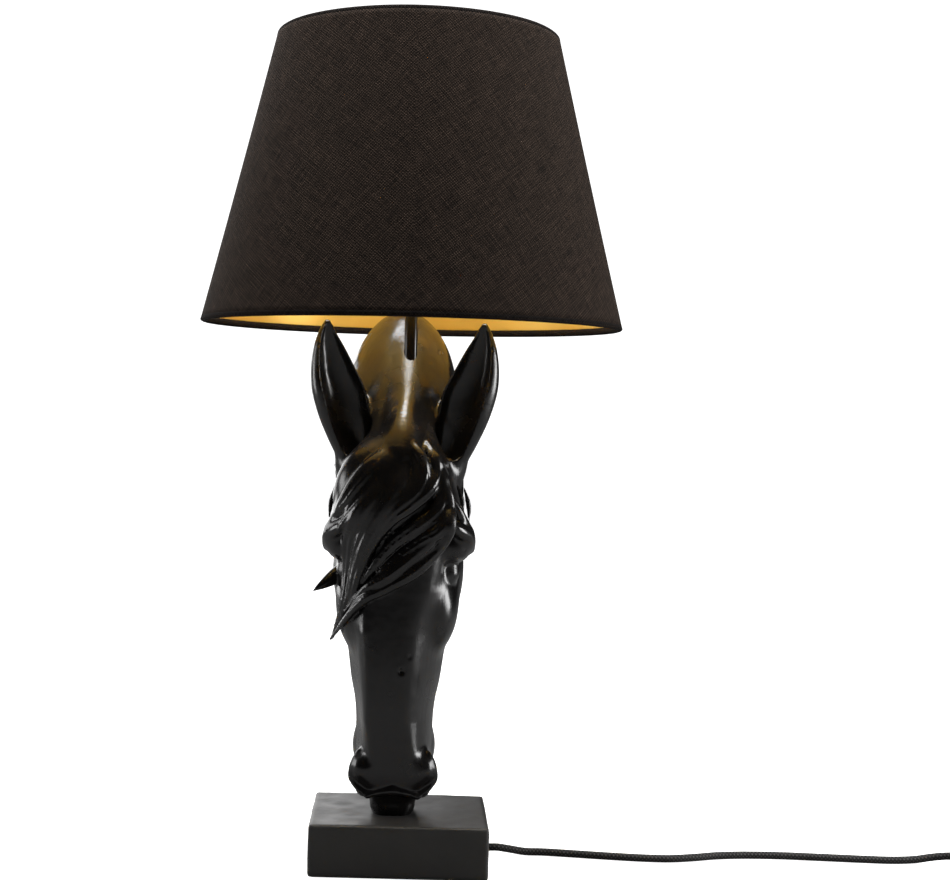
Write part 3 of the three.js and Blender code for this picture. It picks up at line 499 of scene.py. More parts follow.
class Clay:
    """A block of space that shapes are pressed into. Each cell has its distance to the surface, in
    millimetres, negative inside."""

    def __init__(self, low, high, pitch):
        self.pitch = pitch
        self.low = np.array(low, float)
        counts = np.ceil((np.array(high) - self.low) / pitch).astype(int) + 1
        self.x, self.y, self.z = (
            (self.low[i] + pitch * np.arange(counts[i])).astype(np.float32) for i in range(3))
        self.d = np.full(counts, 60.0, np.float32)
        self.skin = None

    def window(self, low, high):
        out = []
        for i, axis in enumerate((self.x, self.y, self.z)):
            a = int(np.clip(np.floor((low[i] - self.low[i]) / self.pitch), 0, len(axis) - 1))
            b = int(np.clip(np.ceil((high[i] - self.low[i]) / self.pitch) + 1, a + 1, len(axis)))
            out.append(slice(a, b))
        return tuple(out)

    def axes(self, w):
        return self.x[w[0]][:, None, None], self.y[w[1]][None, :, None], self.z[w[2]][None, None, :]

    def by_height(self, w, heights, values):
        """Values given at a few heights, read off at each level of a window."""
        return np.interp(self.z[w[2]], heights, values).astype(np.float32)[None, None, :]

    def press(self, w, field, k, cut=False):
        here = self.d[w]
        self.d[w] = near_max(here, -field, k) if cut else near_min(here, field, k)

    def egg(self, centre, size, k=4.0, cut=False, tilt=(0, 0, 0), both=True):
        """An ellipsoid, on each side of the middle plane unless both is False."""
        c, r = np.array(centre, float), np.array(size, float)
        reach = r.max() + 2.5 * k
        for side in (1, -1) if both else (1,):
            here = c * (side, 1, 1)
            w = self.window(here - reach, here + reach)
            x, y, z = self.axes(w)
            p = tilted([side * (x - here[0]), y - here[1], z - here[2]], tilt)
            q0 = np.sqrt(sum((p[i] / r[i]) ** 2 for i in range(3))) + 1e-6
            q1 = np.sqrt(sum((p[i] / r[i] ** 2) ** 2 for i in range(3))) + 1e-6
            self.press(w, (q0 * (q0 - 1) / q1).astype(np.float32), k, cut)

    def block(self, low, high, radius, k=0.3, cut=False):
        """A box with rounded edges."""
        low, high = np.array(low, float), np.array(high, float)
        w = self.window(low - 3 - 2 * k, high + 3 + 2 * k)
        p = self.axes(w)
        q = [np.abs(p[i] - (low[i] + high[i]) / 2) - (high[i] - low[i]) / 2 + radius for i in range(3)]
        out = np.sqrt(sum(np.maximum(v, 0) ** 2 for v in q))
        deep = np.minimum(np.maximum(np.maximum(q[0], q[1]), q[2]), 0)
        self.press(w, (out + deep - radius).astype(np.float32), k, cut)

    def rod(self, points, radii, k=4.0, cut=False, both=True):
        """A round limb along a smooth line, with a radius at each point given."""
        rows = smooth_path(np.hstack([np.asarray(points, float), np.asarray(radii, float)[:, None]]), 6)
        for side in (1, -1) if both else (1,):
            p, r = rows[:, :3] * (side, 1, 1), rows[:, 3]
            reach = r.max() + 2.5 * k
            w = self.window(p.min(0) - reach, p.max(0) + reach)
            x, y, z = self.axes(w)
            best = np.full((x.size, y.size, z.size), 99.0, np.float32)
            for a, b, ra, rb in zip(p[:-1], p[1:], r[:-1], r[1:]):
                s = b - a
                from_a = x - a[0], y - a[1], z - a[2]
                t = np.clip(sum(from_a[i] * s[i] for i in range(3)) / (s @ s), 0, 1)
                gap = np.sqrt(sum((from_a[i] - t * s[i]) ** 2 for i in range(3)))
                np.minimum(best, (gap - (ra + (rb - ra) * t)).astype(np.float32), out=best)
            self.press(w, best, k, cut)

    def settle(self):
        """Remembers the surface as it is now, for hair to lie on."""
        self.skin = self.d.copy()
        self.slopes = np.gradient(self.skin)

    def cell(self, p):
        i = np.rint((np.asarray(p) - self.low) / self.pitch).astype(int)
        return tuple(np.clip(i[..., a], 0, self.d.shape[a] - 1) for a in range(3))

    def outward(self, p):
        """The way out of the settled surface at each point."""
        i = self.cell(p)
        out = np.stack([s[i] for s in self.slopes], -1)
        return out / (np.linalg.norm(out, axis=-1, keepdims=True) + 1e-9)

    def front(self, x, z, lift):
        """The point over the settled surface, met from the front at this x and height."""
        column = self.skin[self.cell((x, 0, z))[0], :, self.cell((x, 0, z))[2]]
        return (x, self.y[self.met(column, lift)], z)

    def left(self, y, z, lift):
        """The same, met from the left."""
        column = self.skin[:, self.cell((0, y, z))[1], self.cell((0, y, z))[2]]
        return (self.x[self.met(column, lift)], y, z)

    def met(self, column, lift):
        inside = np.nonzero(column < lift)[0]
        return inside[0] if len(inside) else int(np.argmin(column))

    def lock(self, points, width, thick, k=1.0, grooves=3, groove=0.6, root=0.35, tip=0.1):
        """A tapering lock of hair: a flat band with fine grooves along it, lying on the settled surface."""
        p = smooth_path(points, 8)
        t = np.linspace(0, 1, len(p))
        swell = np.clip(np.sin(np.pi * np.clip(root + (1 - root) * t, 0, 1)) ** 0.7, tip, None)
        half, deep = width * swell, thick * np.clip(swell, 0.3, None)
        tangent = np.gradient(p, axis=0)
        tangent /= np.linalg.norm(tangent, axis=1)[:, None]
        out = self.outward(p)
        out = out - tangent * (out * tangent).sum(1)[:, None]
        for _ in range(6):
            out[1:-1] = (out[:-2] + out[1:-1] + out[2:]) / 3
        out /= np.linalg.norm(out, axis=1)[:, None]
        across = np.cross(tangent, out)
        reach = half.max() + 3 * k + 1
        w = self.window(p.min(0) - reach, p.max(0) + reach)
        x, y, z = self.axes(w)
        best = np.full((x.size, y.size, z.size), 1e9, np.float32)
        field = np.full_like(best, 99.0)
        for i in range(len(p) - 1):
            s = p[i + 1] - p[i]
            dx, dy, dz = x - p[i][0], y - p[i][1], z - p[i][2]
            u = np.clip((dx * s[0] + dy * s[1] + dz * s[2]) / (s @ s), 0, 1)
            dx, dy, dz = dx - u * s[0], dy - u * s[1], dz - u * s[2]
            gap = dx * dx + dy * dy + dz * dz
            a = dx * across[i][0] + dy * across[i][1] + dz * across[i][2]
            b = dx * out[i][0] + dy * out[i][1] + dz * out[i][2]
            wide = half[i] + (half[i + 1] - half[i]) * u
            thin = deep[i] + (deep[i + 1] - deep[i]) * u
            fade = min(max((i / len(p) - 0.12) / 0.35, 0), 1)
            ripple = fade * groove * np.cos(a / wide * np.pi * grooves) * (b > 0) * np.clip(wide / 4, 0, 1)
            ahead = (gap - a * a - b * b).clip(0) / thin**2
            q = np.sqrt((a / wide) ** 2 + (b / (thin + ripple)) ** 2 + ahead)
            value = (q - 1) * np.minimum(wide, thin)
            nearer = gap < best
            best = np.where(nearer, gap, best)
            field = np.where(nearer, value, field)
        self.press(w, field.astype(np.float32), k)

    def fired(self, name, finish, body="base", shift=(0, 0, 0)):
        """The surface as a piece of the lamp."""
        grid = openvdb.FloatGrid(3 * self.pitch)
        band = np.clip(self.d, -3 * self.pitch, 3 * self.pitch).astype(np.float32)
        grid.copyFromArray(band, tolerance=0.0)
        grid.gridClass = openvdb.GridClass.LEVEL_SET
        points, _, quads = grid.convertToPolygons(0.0, 0.0)
        place = smoothed(points, quads) * self.pitch + self.low + np.array(shift)
        return piece(name, place, [tuple(q[::-1]) for q in quads.tolist()], finish, body)


# ---------------------------------------------------------------- horse's head
HEAD_X = -6.0
# height, front, back, half width, squareness, half width of the flat front
FACE = np.array([
    [40, -19, 15, 17.5, 2.6, 12], [44, -20, 18, 18.5, 2.6, 13], [52, -21, 27, 20.5, 2.4, 15],
    [60, -26, 34, 26, 2.6, 20], [66, -29, 36, 31, 2.6, 24], [72, -31, 37, 34, 2.6, 26],
    [80, -32.5, 38, 33.5, 2.6, 25],
    [94, -33.5, 37, 33.5, 2.8, 22.5], [120, -36, 37, 33, 3.0, 21], [138, -38, 40, 34.5, 3.0, 21.5],
    [155, -39.5, 45, 38, 2.9, 22.5], [172, -40.7, 51, 40.5, 2.8, 24], [190, -41.3, 58, 43, 2.6, 26.5],
    [205, -41.6, 64, 46, 2.5, 29], [235, -42.2, 72, 51, 2.4, 34], [268, -44, 75, 54, 2.3, 40],
    [300, -46.5, 73, 53.5, 2.2, 42], [335, -43, 66, 50, 2.2, 40], [362, -34, 54, 39, 2.1, 32],
    [378, -20, 42, 26, 2.0, 22], [390, -8, 32, 14, 2.0, 12],
])
# crest y, crest height, throat y, throat height, half width
NECK = np.array([
    [-28, 352, 46, 262, 48], [-12, 410, 54, 300, 52], [14, 451, 60, 320, 50], [50, 474, 66, 329, 47],
    [86, 464, 71, 329, 47], [116, 432, 74, 321, 48], [133, 384, 74, 305, 50], [138, 334, 72, 282, 51],
    [136, 290, 69, 254, 51],
])
# height, x and y of the middle, half width
EAR = np.array([
    [328, 38, -3, 9], [342, 41, -5, 14], [358, 45, -8, 18.5], [380, 50.5, -13, 22.5],
    [402, 55.5, -17, 23.6],
    [420, 60.5, -20, 19.5], [437, 64.0, -23, 13.8], [449, 65.8, -25.5, 8.3], [456, 66.0, -27, 4.8],
    [461, 66.0, -27.5, 1.8],
])
EAR_SHIFT = 1.5
# how far the flat front of the nose lies to the left of the middle
NOSE_LEAN = 6.5


def face_form(clay, w):
    """Level sections of the face: flat and narrow in front, widest behind the nose's long edges."""
    x, y, z = clay.axes(w)
    rows = smooth_path(FACE, 20)
    front, back, half, square, flat = (clay.by_height(w, rows[:, 0], rows[:, i]) for i in range(1, 6))
    middle, deep = (front + back) / 2, (back - front) / 2
    behind = np.clip((y - front) / (1.1 * deep), 0, 1)
    lean = clay.by_height(w, [90, 125, 200, 235], [0, 1, 1, 0])
    x = x + NOSE_LEAN * lean * (1 - behind) ** 2
    here = flat + (half - flat) * behind**0.85
    power = square + 2.6 * (1 - behind) ** 2
    q = ((np.abs(x) / here) ** power + (np.abs(y - middle) / deep) ** power) ** (1 / power)
    return near_max((q - 1) * np.minimum(half, deep), z - 384.0, 10.0).astype(np.float32)


def neck_form(clay, w):
    """Ribs from crest to throat in the side view, with each cell placed between the ribs beside it."""
    x = clay.x[w[0]][:, None, None]
    yy, zz = np.meshgrid(clay.y[w[1]], clay.z[w[2]], indexing="ij")
    rows = smooth_path(NECK, 6)
    crest, throat, half = rows[:, :2], rows[:, 2:4], rows[:, 4]
    middle, arm = (crest + throat) / 2, (crest - throat) / 2
    deep = np.linalg.norm(arm, axis=1)
    unit = arm / deep[:, None]
    normal = np.stack([unit[:, 1], -unit[:, 0]], 1)
    normal *= np.sign((np.gradient(middle, axis=0) * normal).sum(1))[:, None]
    ahead = [(yy - m[0]) * n[0] + (zz - m[1]) * n[1] for m, n in zip(middle, normal)]
    up = [(yy - m[0]) * u[0] + (zz - m[1]) * u[1] for m, u in zip(middle, unit)]
    last = len(rows) - 1
    place = np.where(ahead[0] < 0, up[0] / deep[0], up[last] / deep[last])
    half_here = np.where(ahead[0] < 0, half[0], half[last])
    deep_here = np.where(ahead[0] < 0, deep[0], deep[last])
    best = np.where((ahead[0] < 0) | (ahead[last] > 0), np.abs(place) + 0.4, 1e9)
    for i in range(last):
        between = (ahead[i] >= 0) & (ahead[i + 1] < 0)
        t = ahead[i] / (ahead[i] - ahead[i + 1] + 1e-9)
        span = deep[i] + (deep[i + 1] - deep[i]) * t
        here = (up[i] + (up[i + 1] - up[i]) * t) / span
        nearer = between & (np.abs(here) < best)
        best[nearer], place[nearer], deep_here[nearer] = np.abs(here)[nearer], here[nearer], span[nearer]
        half_here[nearer] = (half[i] + (half[i + 1] - half[i]) * t)[nearer]
    ends = np.maximum(-ahead[0], ahead[last])[None].astype(np.float32)
    place, half_here, deep_here = (m[None].astype(np.float32) for m in (place, half_here, deep_here))
    half_here = half_here * (1.0 - 0.16 * np.clip(place, -1, 1) ** 3)
    q = (np.abs(x / half_here) ** 2.1 + np.abs(place) ** 2.1) ** (1 / 2.1)
    return near_max((q - 1) * np.minimum(half_here, deep_here), ends, 3.0).astype(np.float32)


def ear(clay, side):
    """A leaf of resin, thin at its rim and hollow towards the front."""
    w = clay.window((side * 57 - 34, -60, 322), (side * 57 + 34, 36, 470))
    x, y, z = clay.axes(w)
    rows = smooth_path(EAR, 20)
    cx, cy, half = (clay.by_height(w, rows[:, 0], rows[:, i]) for i in (1, 2, 3))
    up = ((z - 334) / 128).clip(0, 1)
    yaw = np.radians(24 - 10 * up)
    px, py = side * (x - EAR_SHIFT) - cx, y - cy
    u = np.cos(yaw) * px - np.sin(yaw) * py
    v = np.sin(yaw) * px + np.cos(yaw) * py
    deep = 0.62 * half + 1.0
    outer = (np.sqrt((u / half) ** 2 + (v / deep) ** 2) - 1) * np.minimum(half, deep)
    cup_half, cup_deep = np.maximum(0.86 * half - 1.5, 0.3), np.maximum(deep * 1.25 - 3.2, 0.3)
    cup = np.sqrt(((u + 0.1 * half) / cup_half) ** 2 + ((v + 0.62 * deep) / cup_deep) ** 2) - 1
    cup = near_max(cup * np.minimum(cup_half, cup_deep), 341.0 - z + 0.5 * np.abs(u), 6.0)
    leaf = np.maximum(near_max(outer, -cup, 1.2), np.maximum(328.0 - z, z - 461.0))
    clay.press(w, leaf.astype(np.float32), 3.0)
    clay.press(w, np.maximum(cup, z - 464.0).astype(np.float32), 1.0, cut=True)


EYE = (41, -11.5, 250)
EYE_RADIUS = 11.5


def bones(clay):
    """Cheeks, jaw, the long edges of the nose, brows and eyes."""
    clay.egg((31, 32, 247), (26, 43, 52), 7)
    clay.rod([(24, 52, 222), (19, 40, 165), (13, 27, 100)], [15, 12, 9], 8)
    clay.egg((0, 62, 180), (9, 22, 70), 9, cut=True, both=False)
    clay.egg((34, -2, 220), (18, 26, 36), 12)
    clay.rod([(28, -30, 344), (38, -37, 320), (50, -35, 301), (58, -25, 287)], [4, 4.5, 4.5, 4], 5)
    clay.egg((40, -48, 296), (7, 7, 13), 5, cut=True, tilt=(0, -20, 0))
    clay.egg((45, -17, 274), (17, 18, 17), 8)
    clay.rod([(34, -45, 296), (47, -40, 289), (58, -27, 281), (61, -12, 270)], [3.5, 5.5, 5.5, 3.5], 6)
    clay.egg((52, -28, 254), (12, 9, 6), 6, cut=True)
    clay.egg(EYE, (EYE_RADIUS,) * 3, 4.0)
    clay.rod([(47, -31, 326), (52, -30, 313), (53, -31, 300)], [0.8, 2.2, 0.8], 3.0)
    clay.rod([(54, -20, 322), (58, -19, 308), (59, -21, 294)], [0.8, 2.2, 0.8], 3.0)
    clay.egg((42, -2, 344), (15, 16, 22), 8)
    clay.egg((0, -22, 352), (20, 14, 22), 10, both=False)
    clay.rod([(0, -37, 352), (1, -33, 366), (3, -22, 385), (5, -8, 405), (6, 4, 421), (6, 14, 437)],
             [17, 15, 12, 11, 10, 9], 10, both=False)
    clay.egg((5, -40.5, 169), (1.9, 2.4, 2.6), 0.9, cut=True, both=False)
    clay.egg((12, -40.0, 181), (1.2, 1.6, 1.5), 0.9, cut=True, both=False)


def muzzle(clay):
    """Nostrils that flare to a corner each side, and the lips drawn back beneath them."""
    clay.egg((24.5, -18, 84), (11.5, 12, 14), 7)
    clay.rod([(30, -20, 98), (34, -20, 86), (36, -19, 76.5), (32.5, -21, 70), (27, -24, 65), (21, -27, 62)],
             [0.8, 2.0, 2.2, 2.1, 2.0, 1.8], 4)
    clay.rod([(21, -27, 62), (10, -29, 65), (0, -29.5, 67)], [1.8, 2.4, 2.8], 4)
    clay.egg((24, -12, 66), (8, 13, 8), 3)
    clay.egg((25.5, -33, 66.5), (7, 6, 3.2), 1.2, cut=True, tilt=(0, -38, 0))
    clay.egg((0, -43, 51.5), (26, 14, 8), 4.0, cut=True, both=False)
    clay.egg((0, -11, 51), (19, 12, 10), 5, both=False)
    clay.egg((0, 12, 52), (17, 13, 11), 5, both=False)
    clay.egg((0, 26, 72), (18, 13, 18), 7, both=False)
    clay.egg((27, 14, 98), (8, 10, 15), 6)
    clay.rod([(19, 4, 43), (26, 12, 56), (31.5, 18, 74), (33.5, 22, 88)],
             [1.5, 1.5, 1.3, 0.7], 2.0, cut=True)


# x and height of each lock from root to tip, then its half width, thickness and height above the skin
FORELOCK = [
    ([(-6, 352), (-20, 339), (-33, 324), (-44, 310), (-54, 299)], 11, 5, 0.5),
    ([(2, 350), (-12, 333), (-28, 315), (-41, 299), (-50, 287)], 9, 5, 1.0),
    ([(0, 346), (-14, 322), (-30, 300), (-38, 278), (-40, 250), (-45, 222), (-55, 190)], 11, 6, 1.5),
    ([(6, 344), (-2, 324), (-16, 302), (-27, 280), (-34, 254), (-40, 228), (-52, 197)], 10, 6, 2.5),
    ([(10, 352), (17, 338), (12, 320), (-2, 306), (-16, 290), (-26, 270), (-34, 248), (-44, 220)],
     9, 5.5, 3),
    ([(4, 332), (-6, 312), (-18, 292), (-28, 268), (-36, 244), (-46, 214)], 8, 5, 4),
    ([(8, 360), (16, 350), (20, 336), (16, 322), (4, 309), (-8, 298), (-20, 280)], 5.5, 4.5, 4.5),
    ([(18, 363), (27, 350), (30, 336), (24, 322), (9, 308), (-6, 296), (-18, 278), (-28, 258)], 7, 5, 4),
    ([(24, 352), (33, 335), (36, 318), (30, 302), (14, 290), (-4, 276), (-20, 256), (-34, 234)], 8, 5, 4.5),
    ([(28, 340), (37, 322), (40, 304), (34, 289), (18, 278), (0, 264), (-18, 246), (-36, 222)], 7, 5, 5.5),
    ([(33, 300), (28, 282), (10, 264), (-10, 248), (-28, 236), (-44, 216)], 6, 5, 6),
    ([(31, 330), (39, 310), (41.5, 293), (35, 277), (14, 254), (-8, 240), (-28, 228), (-44, 208),
      (-57, 187)],
     6.5, 6, 5),
]
# how far the root of a lock starts above the skin
BURIED = -3.5
# y and height of each lock of the mane, down the left side of the neck
MANE = [
    [(14, 414), (20, 396), (18, 368), (8, 338), (0, 312)],
    [(34, 432), (42, 412), (42, 382), (32, 350), (16, 318)],
    [(56, 440), (66, 420), (68, 390), (58, 355), (44, 322)],
    [(80, 436), (92, 414), (94, 385), (85, 350), (70, 316)],
    [(100, 420), (109, 400), (110, 370), (102, 335), (90, 302)],
    [(116, 396), (122, 376), (122, 348), (114, 318), (104, 286)],
]
MANE_RISE = [-2.2, 0.2, 0.5, 0.6, 0.2]


def hair(clay):
    """The forelock sweeps over the brow to a point at the left, and the mane falls on the same side."""
    for path, half, thick, up in FORELOCK:
        arch = [math.sin(math.pi * min(1, (i + 0.6) / len(path))) for i in range(len(path))]
        rise = [BURIED, *(up * (0.35 + 0.65 * a) for a in arch[1:])]
        clay.lock([clay.front(x, z, r) for (x, z), r in zip(path, rise)], half, thick, root=0.22)
    for i, path in enumerate(MANE):
        clay.lock([clay.left(y, z, r) for (y, z), r in zip(path, MANE_RISE)], 12 - i % 2, 3.0, grooves=4)
    clay.rod([(-46, 4, 248), (-55, -2, 242), (-64, -8, 236), (-72, -13, 231)],
             [7.5, 6.5, 3.8, 0.5], 2.0, both=False)


def horse_head(finish):
    clay = Clay((-86, -78, 36), (86, 146, 486), 1.25)
    whole = (slice(None),) * 3
    clay.d[whole] = face_form(clay, whole)
    clay.press(whole, neck_form(clay, whole), 16.0)
    bones(clay)
    muzzle(clay)
    clay.egg((-12, -33, 322), (41, 20, 40), 12, both=False)
    for side in (1, -1):
        ear(clay, side)
    clay.settle()
    hair(clay)
    head = clay.fired("horse_head_casting", finish, shift=(HEAD_X, 0, 0))
    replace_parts(head, "horse_head")
    return head


# ---------------------------------------------------------------- shade
SHADE = {"bottom_radius": 180, "top_radius": 120, "bottom": 457, "top": 707}
SLANT = math.hypot(SHADE["bottom_radius"] - SHADE["top_radius"], SHADE["top"] - SHADE["bottom"])
LEAN = (SHADE["bottom_radius"] - SHADE["top_radius"]) / SLANT
ROUND = 256


def wall(up, inward):
    """A point of the shade's wall, from its distance up the outside and its depth towards the axis."""
    rise = math.sqrt(1 - LEAN**2)
    return (SHADE["bottom_radius"] - LEAN * up - rise * inward, SHADE["bottom"] + rise * up - LEAN * inward)


def sagging(turn, radius, height):
    """The cloth is drawn in a little between the wires and isn't quite round."""
    middle = np.sin(np.pi * (height - SHADE["bottom"]) / (SHADE["top"] - SHADE["bottom"]))
    return -0.35 * middle + 0.25 * np.sin(3 * turn + 0.7) + 0.15 * np.sin(7 * turn + height * 0.01)


def shade(linen, foil, tape):
    rows = np.linspace(1.8, SLANT - 3.0, 40)
    outside = [wall(u, 0) for u in rows]
    inside = [wall(u, 0.7) for u in rows[::-1]]
    cover = turned("shade_cloth", outside + inside, linen, "shade", ROUND, wobble=sagging, cone=LEAN)
    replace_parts(cover, "shade_cover")
    near, far = 1.0, 1.5
    lining = turned("gold_lining", [wall(u, near) for u in rows] + [wall(u, far) for u in rows[::-1]], foil,
                    "shade", ROUND, wobble=sagging, cone=LEAN)
    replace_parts(lining, "shade_liner")
    hems = [hem(side, tape) for side in (False, True)]


def hem(at_top, tape):
    """Cloth turned in over the wire: rolled at the edge, then lying against the lining."""
    start = SLANT - 2.2 if at_top else 1.1
    way = -1 if at_top else 1
    section = [(6.0, 0.75), (3.4, -0.05), (1.2, -0.15), (0.2, 0.6), (-0.15, 2.2), (0.1, 3.9), (0.9, 5.4),
               (2.6, 6.1), (4.6, 6.0), (5.9, 4.9), (6.1, 2.6), (6.05, 1.6)]
    rows = [wall(start + way * up, inward) for up, inward in section]
    name = "rolled_hem_top" if at_top else "rolled_hem_bottom"

    def uneven(turn, radius, height):
        puckers = 0.16 * np.sin(41 * turn) + 0.12 * np.sin(67 * turn + 1.3)
        lap = 0.7 * np.exp(-((turn - math.pi / 2) / 0.03) ** 2)
        return sagging(turn, radius, height) - (puckers + lap) * (radius < wall(start, 2.0)[0])

    made = turned(name, rows, tape, "shade", ROUND, wobble=uneven, cone=LEAN)
    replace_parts(made, "hem_top" if at_top else "hem_bottom")
    return made


# ---------------------------------------------------------------- plinth and stem
PLINTH = {"half": (75, 57), "foot": 0.5, "top": 44}


def plinth(finish):
    x, y = PLINTH["half"]
    clay = Clay((-x - 6, -y - 6, -5), (x + 6, y + 6, 50), 1.5)
    clay.block((-x + 0.3, -y + 0.3, PLINTH["foot"]), (x - 0.3, y - 0.3, PLINTH["top"] - 0.2), 2.4, k=0.1)
    xx, yy, zz = np.meshgrid(clay.x, clay.y, clay.z, indexing="ij")
    swell = (np.sin(xx * 0.11 + 1.0) * np.sin(yy * 0.13 + 0.4) + np.sin(xx * 0.05 - yy * 0.08 + 2.0)
             + np.sin(zz * 0.17 + xx * 0.07) + 0.5 * np.sin(xx * 0.31 + zz * 0.4) * np.sin(yy * 0.27))
    clay.d += (0.09 * swell).astype(np.float32)
    clay.block((-71.5, -53.5, -9), (71.5, 53.5, 1.6), 1.0, k=0.2, cut=True)
    clay.block((-50, -33, -9), (50, 33, 34), 3.0, k=0.5, cut=True)
    made = clay.fired("cast_plinth", finish)
    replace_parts(made, "plinth")


def stem(finish):
    bore, radius = 5.1, 5.7
    low, high = 405, 543
    rows = [(bore, low), (radius - 0.3, low), (radius, low + 0.4), (radius, high - 0.6),
            (radius - 0.5, high), (bore, high)]
    made = crisp(turned("gloss_stem", rows, finish, count=64))
    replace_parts(made, "stem_tube")


# ---------------------------------------------------------------- holder, rings and bulb
HOLDER = {"bottom": 547.6, "joint": 566, "top": 604, "radius": 19.5, "bore": 17.3}


def screw_thread(pitch, depth, low, high, near):
    """A rounded thread between two heights, on the parts of a profile wider than near."""
    def shape(turn, radius, height):
        fade = np.clip((height - low) / 2, 0, 1) * np.clip((high - height) / 2, 0, 1)
        return depth * fade * np.cos(2 * math.pi * height / pitch - turn) * (radius > near)
    return shape


def holder(plastic):
    bottom, joint, top = HOLDER["bottom"], HOLDER["joint"], HOLDER["top"]
    radius, bore = HOLDER["radius"], HOLDER["bore"]
    cap = [(7, bottom), (8.2, bottom + 0.6), (8.6, bottom + 4), (14.4, bottom + 5.6), (18.4, bottom + 9),
           (20.2, bottom + 13), (20.5, joint - 0.9), (20.1, joint - 0.1), (17.9, joint - 0.1),
           (17.9, bottom + 13.5), (12, bottom + 8.5), (5, bottom + 8.5), (5, bottom)]
    ribs = turned("holder_cap_shell", cap, plastic, count=120,
                  wobble=lambda t, r, z: 0.25 * np.cos(30 * t) * (r > 19.9) * (z < joint - 0.5))
    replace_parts(ribs, "holder_cap")
    threaded = [(radius, z) for z in np.arange(joint + 5, top - 1, 0.6)]
    skirt = [(20.3, joint), (20.5, joint + 0.6), (20.5, joint + 3.6), (19.7, joint + 4.6), *threaded,
             (radius - 0.8, top - 0.2), (bore + 0.3, top), (bore, top - 0.4), (bore, joint)]
    body = turned("holder_skirt", skirt, plastic, count=96,
                  wobble=screw_thread(2.4, 0.35, joint + 5, top - 1, radius - 0.1))
    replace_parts(body, "holder_body")
    for made in (ribs, body):
        crisp(made)


RINGS = {"lower": 580.0, "upper": 592.3}


def shade_rings(plastic):
    outer, inner, height = 26.5, 20, 5.4
    for where, low in RINGS.items():
        rows = [(inner, low), (outer - 1.4, low), (outer - 0.4, low + 0.5), (outer, low + 1.4),
                (outer, low + height - 1.4), (outer - 0.4, low + height - 0.5), (outer - 1.4, low + height),
                (inner, low + height)]
        made = turned(f"threaded_ring_{where}", rows, plastic, f"ring_{where}", 192,
                      wobble=lambda t, r, z: -0.5 * (np.cos(32 * t) > 0.2) * (r > outer - 1))
        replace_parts(crisp(made), f"shade_ring_{where}")


def bulb(glass, brass):
    centre, radius = 661, 30
    arc = [(radius * math.cos(math.radians(a)), centre + radius * math.sin(math.radians(a)))
           for a in np.linspace(-40, 90, 27)]
    arc[-1] = (0.0, centre + radius)
    neck = [(11.8, 601), (11.8, 608), (12.4, 614), (14.4, 622), (17.6, 631), (20.6, 638)]
    outside = neck + arc
    inside = [(max(r - 0.9, 0.0), z if r > 1 else z - 0.9) for r, z in outside[::-1]]
    globe = turned("blown_globe", outside + inside, glass, "bulb", 72)
    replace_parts(globe, "bulb_glass")
    threaded = [(12.7, z) for z in np.arange(588, 606, 0.6)]
    rows = [(9, 584.6), (11.6, 585.2), (12.6, 587), *threaded, (12.9, 606.6), (12.2, 607),
            (11.9, 606.4), (11.9, 588), (8.6, 585.4)]
    shell = turned("threaded_cap", rows, brass, "bulb", 72, wobble=screw_thread(3.6, 0.4, 587.5, 605, 12.3))
    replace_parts(shell, "bulb_screw_cap")


# ---------------------------------------------------------------- switch, plug and cord
SWITCH = {"x": 488, "y": 29, "length": 62, "width": 27, "height": 20, "split": 9.5}
ROCKER = {"half": 10, "width": 11}


def cord_switch(plastic):
    x, y, length = SWITCH["x"], SWITCH["y"], SWITCH["length"]
    half, height, split = SWITCH["width"] / 2, SWITCH["height"], SWITCH["split"]
    pitch = 0.6
    room = ((x - 4, y - half - 4, -3), (x + length + 4, y + half + 4, height + 4))
    middle, reach = x + length / 2, ROCKER["half"] + 1.5
    channel = [(x - 3, y, 8), (x + 10, y, 8)], [(x + length - 10, y, 8), (x + length + 3, y, 8)]
    shells = {"switch_base": (0.6, split), "switch_cover": (split + 0.1, height)}
    for node_name, (low, high) in shells.items():
        clay = Clay(*room, pitch)
        clay.block((x, y - half, 0.6), (x + length, y + half, height), 4.0, k=0.1)
        clay.block((x + 2, y - half + 2, 2.6), (x + length - 2, y + half - 2, height - 2), 2.5, k=0.1,
                   cut=True)
        clay.block((x - 9, y - half - 9, high), (x + length + 9, y + half + 9, 60), 0.1, k=0.4, cut=True)
        clay.block((x - 9, y - half - 9, -60), (x + length + 9, y + half + 9, low), 0.1, k=0.4, cut=True)
        if node_name == "switch_cover":
            clay.block((middle - reach, y - 6, 14), (middle + reach, y + 6, 40), 1.0, k=0.8, cut=True)
        else:
            for end in (8, length - 8):
                clay.rod([(x + end, y - 0.01, 2.6), (x + end, y, 9.0)], [3.6, 3.6], 0.5, both=False)
                clay.rod([(x + end, y - 0.01, 0), (x + end, y, 1.6)], [2.9, 2.9], 0.2, cut=True, both=False)
        for run in channel:
            clay.rod(run, [3.5, 3.5], 0.4, cut=True, both=False)
        made = clay.fired(f"{node_name}_moulding", plastic)
        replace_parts(made, node_name)
    clay = Clay((middle - 14, y - 9, 11), (middle + 14, y + 9, 28), pitch)
    clay.block((middle - 10, y - 5.5, 15), (middle + 10, y + 5.5, 22.6), 0.9, k=0.1)
    clay.rod([(middle + 1.5, y - 12, 41), (middle + 1.5, y + 12, 41)], [20.6, 20.6], 0.6, cut=True,
             both=False)
    clay.rod([(middle - 6, y - 2.4, 20.6), (middle - 6, y + 2.4, 20.6)], [0.5, 0.5], 0.4, both=False)
    made = clay.fired("rocker_moulding", plastic, "rocker")
    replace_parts(made, "switch_rocker")


